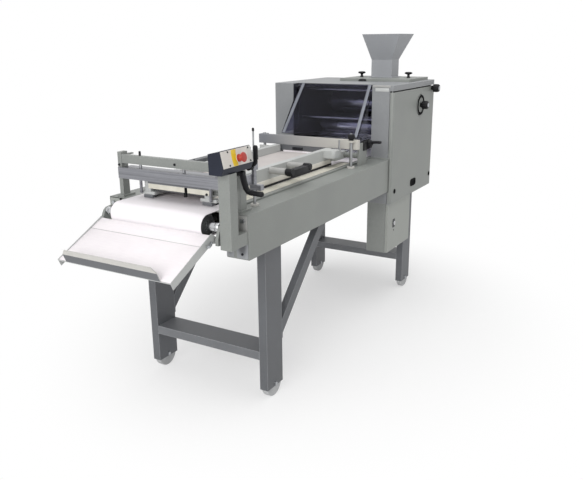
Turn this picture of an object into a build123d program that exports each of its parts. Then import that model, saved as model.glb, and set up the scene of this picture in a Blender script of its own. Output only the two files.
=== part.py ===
"""Dough forming machine: belt moulder with a sheeting head, pressure board, outfeed tray and wheels.

Millimetres, +Z up. The pieces are drawn with x counted from the front end of the side beams, y from the
middle of the belt (operator side is -Y) and z from the floor, then moved so that the origin lies on the
floor under the middle of the whole machine.
"""
import os
from math import atan2, cos, degrees, hypot, pi, radians, sin

from build123d import *

# Clearances and sheet
RUN = 0.05
SHEET = 3.0

# Frame
BEAM_LENGTH = 2040.0
BEAM_TOP = 876.0
BEAM_BOTTOM = 696.0
BEAM_WEB_Y = 355.0
BEAM_LIP_Y = 250.0
BEAM_WALL = 4.0
LEG_X = 125.0
LEG_Y = 40.0
LEG_CENTRE_Y = 302.5
LEG_BOTTOM = 47.0
FRONT_LEG_X = 224.5
REAR_LEG_X = 1804.5
CROSS_BOTTOM = 187.0
BRACE_SIDE = 49.0
BRACE_TOP = 34.0
BRACE_WALL = 6.0
BRACE_FOOT_Z = 336.0
WHEEL_R = 58.0
WHEEL_WIDTH = 30.0
AXLE_R = 5.0

# Conveyor
BELT_HALF = 227.5
BELT_TOP = 885.0
BELT_THICK = 2.5
ROLLER_R = 43.0
ROLLER_Z = BELT_TOP - BELT_THICK - ROLLER_R - 0.3
OUTFEED_X = -82.0
DRIVE_X = 1930.0
OUTFEED_SHAFT_R = 10.0
DRIVE_SHAFT_R = 12.5
BED_FRONT = -25.0
BED_REAR = 1880.0
BED_SKIRT_Z = 842.0
BRACKET_Y0 = 285.0
BRACKET_Y1 = 297.0
TENSION_Y = 330.0
TENSION_Z = 852.0
END_PLATE = 5.0

# Outfeed tray
TRAY_HALF = 278.0
TRAY_TOP = (-128.0, 819.0)
TRAY_FRONT = (-369.0, 707.0)
TRAY_PIVOT = (-105.0, 791.0)
TRAY_SHEET = 2.0
TRAY_FLANGE = 28.0
TRAY_RIM = (4.0, 9.0)
LIP_HEIGHT = 61.0
LIP_HALF_BASE = 231.0
LIP_HALF_TOP = 212.0
TRAY_PIN_R = 5.0

# Control post and box
POST_X0, POST_X1 = -110.0, -62.0
POST_Y0, POST_Y1 = -352.0, -302.0
POST_Z0, POST_Z1 = 762.0, 1049.0
POST_FOOT_Z1 = 812.0
BOX_X0, BOX_X1 = -150.0, 40.0
PANEL_LOW = (-357.0, 1073.0)
PANEL_HIGH = (-342.0, 1136.0)
BOX_PROFILE = [(-293.0, 1049.0), (-347.0, 1049.0), PANEL_LOW, PANEL_HIGH, (-291.0, 1124.0)]
PANEL_THICK = 2.5
STOP_X = -48.0
STOP_Z = 1100.0
STOP_STEM_R = 10.0
STOP_STEM_IN = 8.0
STOP_CAP_R = 19.0
STOP_REACH = 29.0
STOP_TRAVEL_GAP = 17.0

# Gantry, lifting bar and pressure board
GANTRY_X0, GANTRY_X1 = 20.0, 58.0
GANTRY_Y0, GANTRY_Y1 = 290.0, 310.0
GANTRY_TOP = 1066.0
TIE_X0, TIE_X1 = 22.0, 40.0
TIE_Z0, TIE_Z1 = 1020.0, 1056.0
PIN_X = 31.0
PIN_Y = 195.0
PIN_R = 6.0
PIN_TIP_R = 3.8
PIN_TIP = 19.0
BAR_Z0, BAR_Z1 = 960.0, 1006.0
BAR_SHEET = 6.0
FRONT_COLUMN = (145.0, -290.0)
FRONT_COLUMN_R = 6.0
FRONT_COLUMN_STEP = 1062.0
FRONT_COLUMN_TIP_R = 3.5
FRONT_COLUMN_TOP = 1183.0
SCREW_Y = -34.0
SCREW_BOTTOM = 905.0
STOP_ROD_X, STOP_ROD_Y = 8.0, 178.0
STOP_ROD_BOTTOM = 907.0
# Rear columns: x, y and foot radius; the operator side stands in front of the crossbar, the far side behind
NEAR_COLUMN = (1063.0, -277.0, 20.0)
FAR_COLUMN = (1107.0, 270.0, 18.0)
REAR_COLUMN_R = 8.0
REAR_COLUMN_TOP = 1022.0
CROSSBAR_X0, CROSSBAR_X1 = 1073.0, 1097.0
CROSSBAR_Y0, CROSSBAR_Y1 = -310.0, 286.0
CROSSBAR_Z0, CROSSBAR_Z1 = 970.0, 1018.0
LUG_HALF, LUG_THICK = 17.0, 10.0
FRONT_PLATE = 6.0
BOARD_X0, BOARD_X1 = 62.0, 1058.0
BOARD_HALF = 135.0
BOARD_Z0, BOARD_Z1 = 911.0, 935.0
ENTRY_LIP = 25.0
HANGER_THICK = 6.0
HANGER_Y0, HANGER_Y1 = -165.0, 160.0
LEVER_X, LEVER_Z = 2.0, 1034.0
LEVER_TIP_X, LEVER_TIP_Z = 31.0, 955.0
LEVER_HALF = 11.0
LEVER_Y0, LEVER_Y1 = -342.0, -320.0
LEVER_LUG_Y1 = -296.0
LEVER_GRIP_END = -405.0
LEVER_SHAFT_R = 8.0
CLAMP_Z = 1034.0
BOSS_R, BOSS_HALF = 16.0, 12.0
SLEEVE_R = 9.5
COLUMN_BLOCK_Y0, COLUMN_BLOCK_Y1 = -327.0, -275.0
COLUMN_BLOCK_Z0, COLUMN_BLOCK_Z1 = 941.0, 963.0
CLAMP_STUD_R = 4.0
REAR_CLAMP_X = 1228.0
REAR_CLAMP_Y, REAR_CLAMP_Z = -288.0, 976.0
CLAMP_PLATE_TOP = 992.0

# Side guides
GUIDE_X0, GUIDE_X1 = 20.0, 1055.0
GUIDE_IN, GUIDE_OUT = 138.0, 170.0
GUIDE_Z0, GUIDE_Z1 = 890.0, 972.0
GUIDE_ROD_X = (455.0, 612.0)
GUIDE_ROD_Z = 956.0
GUIDE_ROD_R = 14.0
GUIDE_ROD_END = 292.0
GRIP_R = 15.5
GRIP_Z0, GRIP_Z1 = 941.0, 952.0
CLAMP_Y0, CLAMP_Y1 = 253.0, 287.0
# Slide bars that carry the operator-side guide: x, z and radius; the block and arm that run on the rear one
FRONT_SLIDE = (40.0, 935.0, 8.0)
REAR_SLIDE = (1150.0, 927.0, 14.0)
SLIDE_END = -150.0
GUIDE_BLOCK = (964.0, 1040.0, 232.0, 934.0, 972.0)
GUIDE_ARM = (1040.0, 1172.0, 200.0, 908.0, 946.0)
GUIDE_PIN = (1030.0, -226.0, 4.0, 1022.0)
# Rail on the far beam, the rods of the far guide that run in it, and the plate at that guide's rear end
RAIL_X0, RAIL_X1 = 423.0, 940.0
RAIL_Z0, RAIL_Z1 = 925.0, 967.0
RAIL_FEET = (448.0, 650.0, 880.0)
FAR_ROD_Z, FAR_ROD_R = 948.0, 9.0
FAR_PLATE, FAR_PLATE_END = 6.0, 268.0
FAR_PLATE_Z0, FAR_PLATE_Z1 = 903.0, 963.0

# Head
HEAD_FRONT, HEAD_REAR = 1385.0, 2050.0
HEAD_BOTTOM, HEAD_TOP = 625.0, 1272.0
HEAD_IN, HEAD_OUT = 247.0, 372.0
SIDE_OPEN_Y = 348.5
LEDGE_Z = 1243.0
EDGE_R = 12.0
DOOR_IN_Y = 351.0
DOOR_Z0, DOOR_Z1 = 627.0, 1236.0
DOOR_SHEET = 2.5
DOOR_PIVOT = (1389.5, -362.0)
DOOR_PIN_R = 3.0
DOOR_PIN_DEPTH = 6.0
DOOR_NOTCH_Y = -358.0
DIAL = (1806.0, 1139.0)
DIAL_R = 58.0
DIAL_HOLE_R = 61.0
DIAL_SHAFT_R = 10.0
DIAL_WALL_Y = -318.0
DIAL_BACK_Y = -375.0
COVER_STUD_R = 6.0
KNOB_R = 24.0
KNOB_CAP_R = 20.0
KNOB_END_Y = -422.0
COVER_KNOB = (1995.0, 1224.0)
COVER_FRONT = 1456.0
NECK_CENTRE = (1906.0, -102.0)
NECK_X, NECK_Y = 113.0, 132.0
MOUTH_CENTRE = (1912.0, -114.0)
MOUTH_SIDE = 238.0
COLLAR_RIM = 12.0
HOPPER_WALL = 2.5
HOPPER_Z = (1256.0, 1392.0, 1540.0)
PLATE_X0, PLATE_X1 = 1712.0, 2036.0
PLATE_Y0, PLATE_Y1 = -332.0, 108.0
PLATE_TOP = 1288.0
HOPPER_KNOB_X = 1880.0
HOPPER_KNOB_Y = {"left": 40.0, "right": -264.0}
GUARD_TOP = (1441.0, 1268.0)
GUARD_FRONT = (1231.0, 1008.0)
GUARD_PIVOT = (1440.0, 1254.0)
GUARD_HALF = 236.0
GUARD_SHEET = 5.0
GUARD_PIN_R = 5.0
GUARD_STRIP = 18.0
GUARD_STRIP_Y = (208.0, 223.0)
GUARD_STOP = ((1500.0, 1073.0), 7.0)
TIE_ROD = ((1560.0, 1232.0), 10.0)

# Rollers, gears and drive in the head
FEED_FRONT = (1845.0, 1140.0)
FEED_REAR = (1975.0, 1140.0)
FEED_R = 58.0
SHEET_FRONT = (1735.0, 1000.0)
SHEET_REAR = (1853.0, 1010.0)
SHEET_R = 54.0
BARREL_Y0, BARREL_Y1 = -238.0, 208.0
SHAFT_R = 15.0
SHAFT_LEFT_Y = 262.0
FEED_TEETH = 26
SHEET_TEETH = 24
SPROCKET_R = 38.0
MOTOR_SPROCKET_R = 30.0
SPROCKET_Y0, SPROCKET_Y1 = -334.0, -322.0
FEED_GEAR_Y = (-282.0, -266.0)
SHEET_GEAR_Y = (-304.0, -290.0)
MOTOR_OUT = (1605.0, 940.0)
MOTOR_SHAFT_R = 10.0
MOTOR_R = 44.0
MOTOR_Y = -296.0
MOTOR_BACK_X = 1408.0
GEARBOX_Y0, GEARBOX_Y1 = -318.0, -254.0
CHAIN_THICK = 6.6
CHAIN_GAP = 0.4
CHAIN_Y0, CHAIN_WIDTH = -324.0, 8.0
NET_ROD = (1660.0, 962.0)

# Electrical cabinet
CAB_X0, CAB_X1 = 1396.0, 1738.0
CAB_Y0, CAB_Y1 = -340.0, -230.0
CAB_Z0 = 336.0
CAB_DOOR_Z0, CAB_DOOR_Z1 = 338.0, 620.0
CAB_DOOR_Y = -357.0
CAB_PIVOT = (1733.5, -348.0)
CAB_PIN_R = 2.5
LOCK = (1490.0, 494.0)
LOCK_R = 6.0
GLAND = (1690.0, -285.0)
GLAND_R = 13.0
# Contactors, drive and terminal row: left edge, width, depth, bottom, height
SWITCHGEAR = ((1445.0, 60.0, 62.0, 500.0, 85.0), (1515.0, 60.0, 62.0, 500.0, 85.0),
              (1600.0, 90.0, 70.0, 490.0, 100.0), (1440.0, 250.0, 35.0, 395.0, 40.0))

# Origin on the floor under the middle of the machine's box
LIP_UP = (-0.4, 0.9165)
TRAY_TIP_X = TRAY_FRONT[0] + LIP_UP[0] * LIP_HEIGHT
MID_X = (TRAY_TIP_X + HEAD_REAR) / 2
MID_Y = (KNOB_END_Y + HEAD_OUT) / 2

nodes = {}


def block(x0, x1, y0, y1, z0, z1):
    """Box between two corners."""
    centre = Pos((x0 + x1) / 2, (y0 + y1) / 2, (z0 + z1) / 2)
    return centre * Box(abs(x1 - x0), abs(y1 - y0), abs(z1 - z0))


def rod_x(y, z, r, x0, x1):
    """Round bar along X."""
    return Pos((x0 + x1) / 2, y, z) * Rot(0, 90, 0) * Cylinder(r, abs(x1 - x0))


def rod_y(x, z, r, y0, y1):
    """Round bar along Y."""
    return Pos(x, (y0 + y1) / 2, z) * Rot(90, 0, 0) * Cylinder(r, abs(y1 - y0))


def rod_z(x, y, r, z0, z1):
    """Upright round bar."""
    return Pos(x, y, (z0 + z1) / 2) * Cylinder(r, abs(z1 - z0))


def hex_y(x, z, across, y0, y1):
    """Hexagon bar along Y, sized across its corners."""
    face = Pos(x, y0, z) * Rot(-90, 0, 0) * RegularPolygon(across / 2, 6)
    return extrude(face, amount=y1 - y0)


def slab_xz(points, y0, y1):
    """Outline in the XZ plane, carried from y0 to y1."""
    outline = Polyline(*[(x, y0, z) for x, z in points], close=True)
    return extrude(make_face(outline), amount=y1 - y0, dir=(0, 1, 0))


def slab_yz(points, x0, x1):
    """Outline in the YZ plane, carried from x0 to x1."""
    outline = Polyline(*[(x0, y, z) for y, z in points], close=True)
    return extrude(make_face(outline), amount=x1 - x0, dir=(1, 0, 0))


def both_sides(shape):
    """The piece and its mirror image on the other side of the belt."""
    return [shape, mirror(shape, about=Plane.XZ)]


def strip_points(start, end, thick):
    """Outline of a straight sheet between two points of the XZ plane, thickened to its right."""
    dx, dz = end[0] - start[0], end[1] - start[1]
    length = hypot(dx, dz)
    nx, nz = dz / length * thick, -dx / length * thick
    return [start, end, (end[0] + nx, end[1] + nz), (start[0] + nx, start[1] + nz)]


def round_outer(shape, radius):
    """Round the upright edges on a side cover's outer face."""
    edges = shape.edges().filter_by(Axis.Z).group_by(Axis.Y)[0]
    return fillet(edges, radius)


def soften(shape, radius, axis=Axis.Z, last=True):
    """Round the circular rim at one end of a turned piece."""
    rims = shape.edges().filter_by(GeomType.CIRCLE).group_by(axis)
    return fillet(rims[-1] if last else rims[0], radius)


def add(name, *pieces):
    """Keep one node: a solid, or several separate solids that share a name."""
    nodes[name] = [solid for piece in pieces for solid in piece.solids()]


# Side beams: channels with the web outside
channel = block(0, BEAM_LENGTH, -BEAM_WEB_Y, -BEAM_LIP_Y, BEAM_BOTTOM, BEAM_TOP)
channel -= block(-1, BEAM_LENGTH + 1, -BEAM_WEB_Y + BEAM_WALL, -BEAM_LIP_Y + 1,
                 BEAM_BOTTOM + BEAM_WALL, BEAM_TOP - BEAM_WALL)
chain_slot = block(1655, 1990, -337, -319, BEAM_TOP - BEAM_WALL - 1, BEAM_TOP + 1)
add("right_side_beam", channel - chain_slot)
add("left_side_beam", mirror(channel, about=Plane.XZ))


def tube_leg(x, y):
    """Rectangular tube leg with an open foot and holes for the wheel axle."""
    leg = block(x - LEG_X / 2, x + LEG_X / 2, y - LEG_Y / 2, y + LEG_Y / 2, LEG_BOTTOM, BEAM_BOTTOM)
    hollow_x = LEG_X / 2 - SHEET
    hollow_y = LEG_Y / 2 - SHEET
    leg -= block(x - hollow_x, x + hollow_x, y - hollow_y, y + hollow_y,
                 LEG_BOTTOM - 1, BEAM_BOTTOM - SHEET)
    return leg - rod_y(x, WHEEL_R, AXLE_R + RUN, y - LEG_Y, y + LEG_Y)


def axle_bolt(x, side):
    """Wheel axle with a hexagon head outside and a nut inside the leg."""
    outer = side * (LEG_CENTRE_Y + LEG_Y / 2)
    inner = side * (LEG_CENTRE_Y - LEG_Y / 2)
    shank = rod_y(x, WHEEL_R, AXLE_R, inner, outer)
    head = hex_y(x, WHEEL_R, 18, min(outer, outer + side * 6), max(outer, outer + side * 6))
    nut = hex_y(x, WHEEL_R, 18, min(inner, inner - side * 5), max(inner, inner - side * 5))
    return shank + head + nut


def wheel(x, y):
    """Plain wheel with rounded shoulders and a running bore."""
    tyre = rod_y(x, WHEEL_R, WHEEL_R, y - WHEEL_WIDTH / 2, y + WHEEL_WIDTH / 2)
    tyre = fillet(tyre.edges().filter_by(GeomType.CIRCLE), 3)
    return tyre - rod_y(x, WHEEL_R, AXLE_R + RUN, y - WHEEL_WIDTH, y + WHEEL_WIDTH)


def cross_tube(x):
    """Flat tube between a pair of legs."""
    half = LEG_CENTRE_Y - LEG_Y / 2
    tube = block(x - LEG_X / 2, x + LEG_X / 2, -half, half, CROSS_BOTTOM, CROSS_BOTTOM + LEG_Y)
    return tube - block(x - LEG_X / 2 + SHEET, x + LEG_X / 2 - SHEET, -half - 1, half + 1,
                        CROSS_BOTTOM + SHEET, CROSS_BOTTOM + LEG_Y - SHEET)


legs = []
axles = []
for end, leg_x in (("front", FRONT_LEG_X), ("rear", REAR_LEG_X)):
    for hand, side in (("right", -1), ("left", 1)):
        legs.append(tube_leg(leg_x, side * LEG_CENTRE_Y))
        axles.append(axle_bolt(leg_x, side))
        add(f"{end}_{hand}_wheel", wheel(leg_x, side * LEG_CENTRE_Y))
add("legs", *legs)
add("cross_members", cross_tube(FRONT_LEG_X), cross_tube(REAR_LEG_X))

# Angle braces at 45 degrees from the front legs up to the beams
foot_x = FRONT_LEG_X + LEG_X / 2
brace_top_x = foot_x + BEAM_BOTTOM - BRACE_FOOT_Z
drop = BRACE_SIDE * 2 ** 0.5
thin = BRACE_WALL * 2 ** 0.5
side_flange = [(foot_x, BRACE_FOOT_Z), (brace_top_x, BEAM_BOTTOM), (brace_top_x + drop, BEAM_BOTTOM),
               (foot_x, BRACE_FOOT_Z - drop)]
top_flange = [(foot_x, BRACE_FOOT_Z), (brace_top_x, BEAM_BOTTOM), (brace_top_x + thin, BEAM_BOTTOM),
              (foot_x, BRACE_FOOT_Z - thin)]
brace_y = -(LEG_CENTRE_Y + LEG_Y / 2)
brace = slab_xz(side_flange, brace_y, brace_y + BRACE_WALL)
brace += slab_xz(top_flange, brace_y, brace_y + BRACE_TOP)
foot_plate_z = BRACE_FOOT_Z - drop - 16
brace += block(foot_x, foot_x + BRACE_WALL, brace_y, brace_y + LEG_Y, foot_plate_z, BRACE_FOOT_Z)
add("leg_braces", brace, Pos(0, 2 * LEG_CENTRE_Y, 0) * brace)

# Belt, its bed and its two rollers
bed_top = BELT_TOP - BELT_THICK
bed = block(BED_FRONT, BED_REAR, -BEAM_LIP_Y, BEAM_LIP_Y, bed_top - SHEET, bed_top)
for side in (-1, 1):
    bed += block(BED_FRONT, BED_REAR, side * (BEAM_LIP_Y - SHEET), side * BEAM_LIP_Y,
                 BED_SKIRT_Z, bed_top - SHEET)
add("belt_bed", bed)

belt_plane = Plane((0, 0, ROLLER_Z), x_dir=(1, 0, 0), z_dir=(0, -1, 0))
belt_middle = (OUTFEED_X + DRIVE_X) / 2
belt_span = DRIVE_X - OUTFEED_X
belt_in = 2 * (ROLLER_R + 0.3)
belt_out = belt_in + 2 * BELT_THICK
loop = SlotCenterToCenter(belt_span, belt_out) - SlotCenterToCenter(belt_span, belt_in)
add("conveyor_belt", extrude(belt_plane * Pos(belt_middle, 0) * loop, amount=BELT_HALF, both=True))


def belt_roller(x, shaft_r, shaft_half):
    """Belt roller with recessed end discs on a through shaft."""
    half = BELT_HALF - 1.5
    roller = rod_y(x, ROLLER_Z, ROLLER_R, -half, half)
    for side in (-1, 1):
        cup = rod_y(x, ROLLER_Z, ROLLER_R - 4, side * (half - 6), side * (half + 1))
        roller -= cup - rod_y(x, ROLLER_Z, shaft_r + 8, side * (half - 7), side * (half + 2))
    return roller + rod_y(x, ROLLER_Z, shaft_r, -shaft_half, shaft_half)


add("outfeed_roller", belt_roller(OUTFEED_X, OUTFEED_SHAFT_R, BRACKET_Y1))
drive = belt_roller(DRIVE_X, DRIVE_SHAFT_R, 345)
drive += rod_y(DRIVE_X, ROLLER_Z, SPROCKET_R, SPROCKET_Y0, SPROCKET_Y1)
add("drive_roller", drive)

# End brackets: a plate that closes each beam, with an arm for the roller shaft and the tray pivot
arm = [(0, 800), (0, 858), (-60, 856), (-84, 853), (-98, 844), (-108, 826), (-118, 800), (-118, 778),
       (-92, 774), (-60, 800)]
bracket = slab_xz(arm, -BRACKET_Y1, -BRACKET_Y0)
bracket += block(0, END_PLATE, -BEAM_WEB_Y + BEAM_WALL, -BEAM_LIP_Y,
                 BEAM_BOTTOM + BEAM_WALL, BEAM_TOP - BEAM_WALL)
bracket -= rod_y(OUTFEED_X, ROLLER_Z, OUTFEED_SHAFT_R + RUN, -BRACKET_Y1 - 1, -BRACKET_Y0 + 1)
bracket -= rod_y(TRAY_PIVOT[0], TRAY_PIVOT[1], TRAY_PIN_R + RUN, -BRACKET_Y1 - 1, -BRACKET_Y0 + 1)
bracket -= rod_x(-TENSION_Y, TENSION_Z, AXLE_R + RUN, -1, END_PLATE + 1)
add("end_brackets", *both_sides(bracket))
tension = rod_x(-TENSION_Y, TENSION_Z, AXLE_R, -2, 45)
tension += extrude(Plane.YZ.offset(-9) * Pos(-TENSION_Y, TENSION_Z) * RegularPolygon(9, 6), amount=9)
add("frame_bolts", *axles, *both_sides(tension))

# Outfeed tray: sloping floor, folded sides, raised lip and pivot pins
floor_sheet = slab_xz(strip_points(TRAY_FRONT, TRAY_TOP, TRAY_SHEET), -TRAY_HALF, TRAY_HALF)
slope = hypot(TRAY_TOP[0] - TRAY_FRONT[0], TRAY_TOP[1] - TRAY_FRONT[1])
along = ((TRAY_TOP[0] - TRAY_FRONT[0]) / slope, (TRAY_TOP[1] - TRAY_FRONT[1]) / slope)
under = (along[1], -along[0])


def tray_point(forward, below):
    """Point of the tray's side: distance along the floor from its front edge, and below the floor."""
    return (TRAY_FRONT[0] + along[0] * forward + under[0] * below,
            TRAY_FRONT[1] + along[1] * forward + under[1] * below)


flange = [tray_point(0, -TRAY_RIM[0]), tray_point(slope, -TRAY_RIM[1]),
          (TRAY_PIVOT[0] + 13, TRAY_PIVOT[1] + 10), (TRAY_PIVOT[0] + 13, TRAY_PIVOT[1] - 11),
          tray_point(slope - 14, TRAY_FLANGE), tray_point(0, TRAY_FLANGE)]
tray = floor_sheet
for side in (-1, 1):
    inside = side * (TRAY_HALF - TRAY_SHEET)
    tray += slab_xz(flange, inside, side * TRAY_HALF)
    tray += rod_y(TRAY_PIVOT[0], TRAY_PIVOT[1], TRAY_PIN_R, inside, side * (BRACKET_Y1 - 1))
lip_top = (TRAY_TIP_X, TRAY_FRONT[1] + LIP_UP[1] * LIP_HEIGHT)
lip = slab_xz(strip_points(TRAY_FRONT, lip_top, SHEET), -LIP_HALF_BASE, LIP_HALF_BASE)
lip_mid_z = TRAY_FRONT[1] + 0.54 * (lip_top[1] - TRAY_FRONT[1])
for side in (-1, 1):
    corner = [(side * LIP_HALF_BASE, lip_mid_z), (side * LIP_HALF_TOP, lip_top[1] + 1),
              (side * (LIP_HALF_BASE + 9), lip_top[1] + 1), (side * (LIP_HALF_BASE + 9), lip_mid_z)]
    lip -= slab_yz(corner, TRAY_TIP_X - 5, TRAY_FRONT[0] + 8)
add("outfeed_tray", tray + lip)

# Control post with the square foot that joins it to the beam's end
post = block(POST_X0, POST_X1, POST_Y0, POST_Y1, POST_Z0, POST_Z1)
post -= block(POST_X0 + SHEET, POST_X1 - SHEET, POST_Y0 + SHEET, POST_Y1 - SHEET, POST_Z0 - 1, POST_Z1 + 1)
foot = block(POST_X1 - 1, 0, POST_Y0 + 1, POST_Y1, POST_Z0, POST_FOOT_Z1)
post += foot - block(POST_X1, 1, POST_Y0 + 1 + SHEET, POST_Y1 - SHEET, POST_Z0 - 1, POST_FOOT_Z1 - SHEET)
add("control_post", post)

# Control box: a folded shell with a sloping face, its panel and the emergency-stop button
middle_y = sum(y for y, z in BOX_PROFILE) / len(BOX_PROFILE)
middle_z = sum(z for y, z in BOX_PROFILE) / len(BOX_PROFILE)
shrink = 0.9
inner_profile = [(middle_y + (y - middle_y) * shrink, middle_z + (z - middle_z) * shrink)
                 for y, z in BOX_PROFILE]
face_run = (PANEL_HIGH[0] - PANEL_LOW[0], PANEL_HIGH[1] - PANEL_LOW[1])
face_length = hypot(*face_run)
face_up = (face_run[0] / face_length, face_run[1] / face_length)
face_out = (-face_up[1], face_up[0])
stop_share = (STOP_Z - PANEL_LOW[1]) / face_run[1]
stop_y = PANEL_LOW[0] + stop_share * face_run[0]
stop_axis = Plane((STOP_X, stop_y, STOP_Z), x_dir=(1, 0, 0), z_dir=(0, face_out[0], face_out[1]))
stop_hole = stop_axis * Pos(0, 0, -5) * Cylinder(STOP_STEM_R + 0.5, 30)
case = slab_yz(BOX_PROFILE, BOX_X0, BOX_X1) - slab_yz(inner_profile, BOX_X0 + SHEET, BOX_X1 - SHEET)
case -= block(POST_X0 + 8, POST_X1 - 8, POST_Y0 + 14, POST_Y1 - 10, POST_Z1 - 2, POST_Z1 + 12)
add("control_box", case - stop_hole)


def on_face(up, out):
    """Point of the control box's sloping face: distance up from its lower edge and out from it."""
    return (PANEL_LOW[0] + face_up[0] * up + face_out[0] * out,
            PANEL_LOW[1] + face_up[1] * up + face_out[1] * out)


panel_outline = [on_face(2, 0), on_face(face_length - 2, 0), on_face(face_length - 2, PANEL_THICK),
                 on_face(2, PANEL_THICK)]
add("control_panel", slab_yz(panel_outline, BOX_X0 + 3, BOX_X1 - 3) - stop_hole)
button = stop_axis * Pos(0, 0, (STOP_TRAVEL_GAP - STOP_STEM_IN) / 2)
button = button * Cylinder(STOP_STEM_R, STOP_TRAVEL_GAP + STOP_STEM_IN)
cap = stop_axis * Pos(0, 0, (STOP_TRAVEL_GAP + STOP_REACH) / 2)
cap = cap * Cylinder(STOP_CAP_R, STOP_REACH - STOP_TRAVEL_GAP)
cap = fillet(cap.edges().filter_by(GeomType.CIRCLE).sort_by(Axis.Y)[0], 5)
add("estop_button", button + cap)

# Gantry: two posts on feet, the tie bar, and the plate that carries the rear clamp
gantry_post = block(GANTRY_X0, GANTRY_X1, -GANTRY_Y1, -GANTRY_Y0, BEAM_TOP, GANTRY_TOP)
under_box = block(GANTRY_X0 - 1, GANTRY_X1 + 1, -GANTRY_Y1 - 1, -GANTRY_Y0 + 1, POST_Z1 - 2, GANTRY_TOP + 1)
gantry_post += block(GANTRY_X0 - 10, GANTRY_X1 + 22, -GANTRY_Y1 - 8, -GANTRY_Y0 + 8, BEAM_TOP, BEAM_TOP + 8)
lever_lug = block(LEVER_X - 16, GANTRY_X0, -GANTRY_Y1, LEVER_LUG_Y1, LEVER_Z - 18, POST_Z1 - 2)
lever_hole = rod_y(LEVER_X, LEVER_Z, LEVER_SHAFT_R + RUN, -GANTRY_Y1 - 1, LEVER_LUG_Y1 + 1)
tie = block(TIE_X0, TIE_X1, -GANTRY_Y0, GANTRY_Y0, TIE_Z0, TIE_Z1)
pins = []
for pin_y in (-PIN_Y, PIN_Y):
    tie -= rod_z(PIN_X, pin_y, PIN_R, TIE_Z0 - 1, TIE_Z1 + 1)
    pins.append(rod_z(PIN_X, pin_y, PIN_R, 975, TIE_Z1)
                + rod_z(PIN_X, pin_y, PIN_TIP_R, TIE_Z1, TIE_Z1 + PIN_TIP))
tie -= rod_z(PIN_X, SCREW_Y, PIN_R, TIE_Z0 - 1, TIE_Z1 + 1)
middle_screw = rod_z(PIN_X, SCREW_Y, PIN_R, SCREW_BOTTOM, TIE_Z1)
clamp_plate = block(1128, REAR_CLAMP_X, REAR_CLAMP_Y - 4, REAR_CLAMP_Y + 4, BEAM_TOP, CLAMP_PLATE_TOP)
clamp_plate -= rod_x(REAR_CLAMP_Y, REAR_CLAMP_Z, 3 + RUN, REAR_CLAMP_X - 20, REAR_CLAMP_X + 1)
slide_x, slide_z, slide_r = FRONT_SLIDE
right_post = gantry_post - under_box + (lever_lug - lever_hole)
right_post += rod_y(slide_x, slide_z, slide_r, -GANTRY_Y0 - 5, SLIDE_END)
left_post = mirror(gantry_post, about=Plane.XZ)
rear_x, rear_z, rear_r = REAR_SLIDE
clamp_plate += rod_y(rear_x, rear_z, rear_r, REAR_CLAMP_Y - 4, SLIDE_END)
add("gantry_frame", right_post, left_post, tie, clamp_plate)

# Columns with foot discs
front_x, front_y = FRONT_COLUMN
front_column = rod_z(front_x, front_y, FRONT_COLUMN_R, BEAM_TOP, FRONT_COLUMN_STEP)
front_column += rod_z(front_x, front_y, FRONT_COLUMN_TIP_R, FRONT_COLUMN_STEP, FRONT_COLUMN_TOP)
front_column += rod_z(front_x, front_y, 17, BEAM_TOP, BEAM_TOP + 8)
rear_columns = []
for column_x, column_y, foot_r in (NEAR_COLUMN, FAR_COLUMN):
    column = rod_z(column_x, column_y, REAR_COLUMN_R, BEAM_TOP, REAR_COLUMN_TOP)
    rear_columns.append(column + rod_z(column_x, column_y, foot_r, BEAM_TOP, BEAM_TOP + 8))
add("lift_columns", *pins, middle_screw, front_column, *rear_columns)

# Lifting bar: angle across the front, with an arm back to a boss on the front column
lifting = block(0, BAR_SHEET, -GANTRY_Y0 - 3, GANTRY_Y0 + 3, BAR_Z0, BAR_Z1)
lifting += block(BAR_SHEET, BOARD_X0, -276, 276, BAR_Z1 - BAR_SHEET, BAR_Z1)
for side in (-1, 1):
    lifting += rod_z(STOP_ROD_X, side * STOP_ROD_Y, PIN_R, STOP_ROD_BOTTOM, BAR_Z0 + 6)
lifting += block(BAR_SHEET, front_x - 6, -288, -280, BAR_Z0 + 6, BAR_Z1 - 2)
lifting += block(front_x - 12, front_x + 12, COLUMN_BLOCK_Y0, COLUMN_BLOCK_Y1, COLUMN_BLOCK_Z0, COLUMN_BLOCK_Z1)
lifting += rod_z(front_x, front_y, SLEEVE_R, COLUMN_BLOCK_Z1, CLAMP_Z)
lifting += rod_z(front_x, front_y, BOSS_R, CLAMP_Z - BOSS_HALF, CLAMP_Z + BOSS_HALF)
lifting -= rod_z(front_x, front_y, FRONT_COLUMN_R + RUN, COLUMN_BLOCK_Z0 - 1, CLAMP_Z + BOSS_HALF + 1)
lifting -= rod_x(front_y, CLAMP_Z, CLAMP_STUD_R + RUN, front_x - 20, front_x - 8)
for pin_y in (-PIN_Y, SCREW_Y, PIN_Y):
    lifting -= rod_z(PIN_X, pin_y, PIN_R + RUN, BAR_Z0, BAR_Z1 + 1)
add("lifting_bar", lifting)

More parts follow.
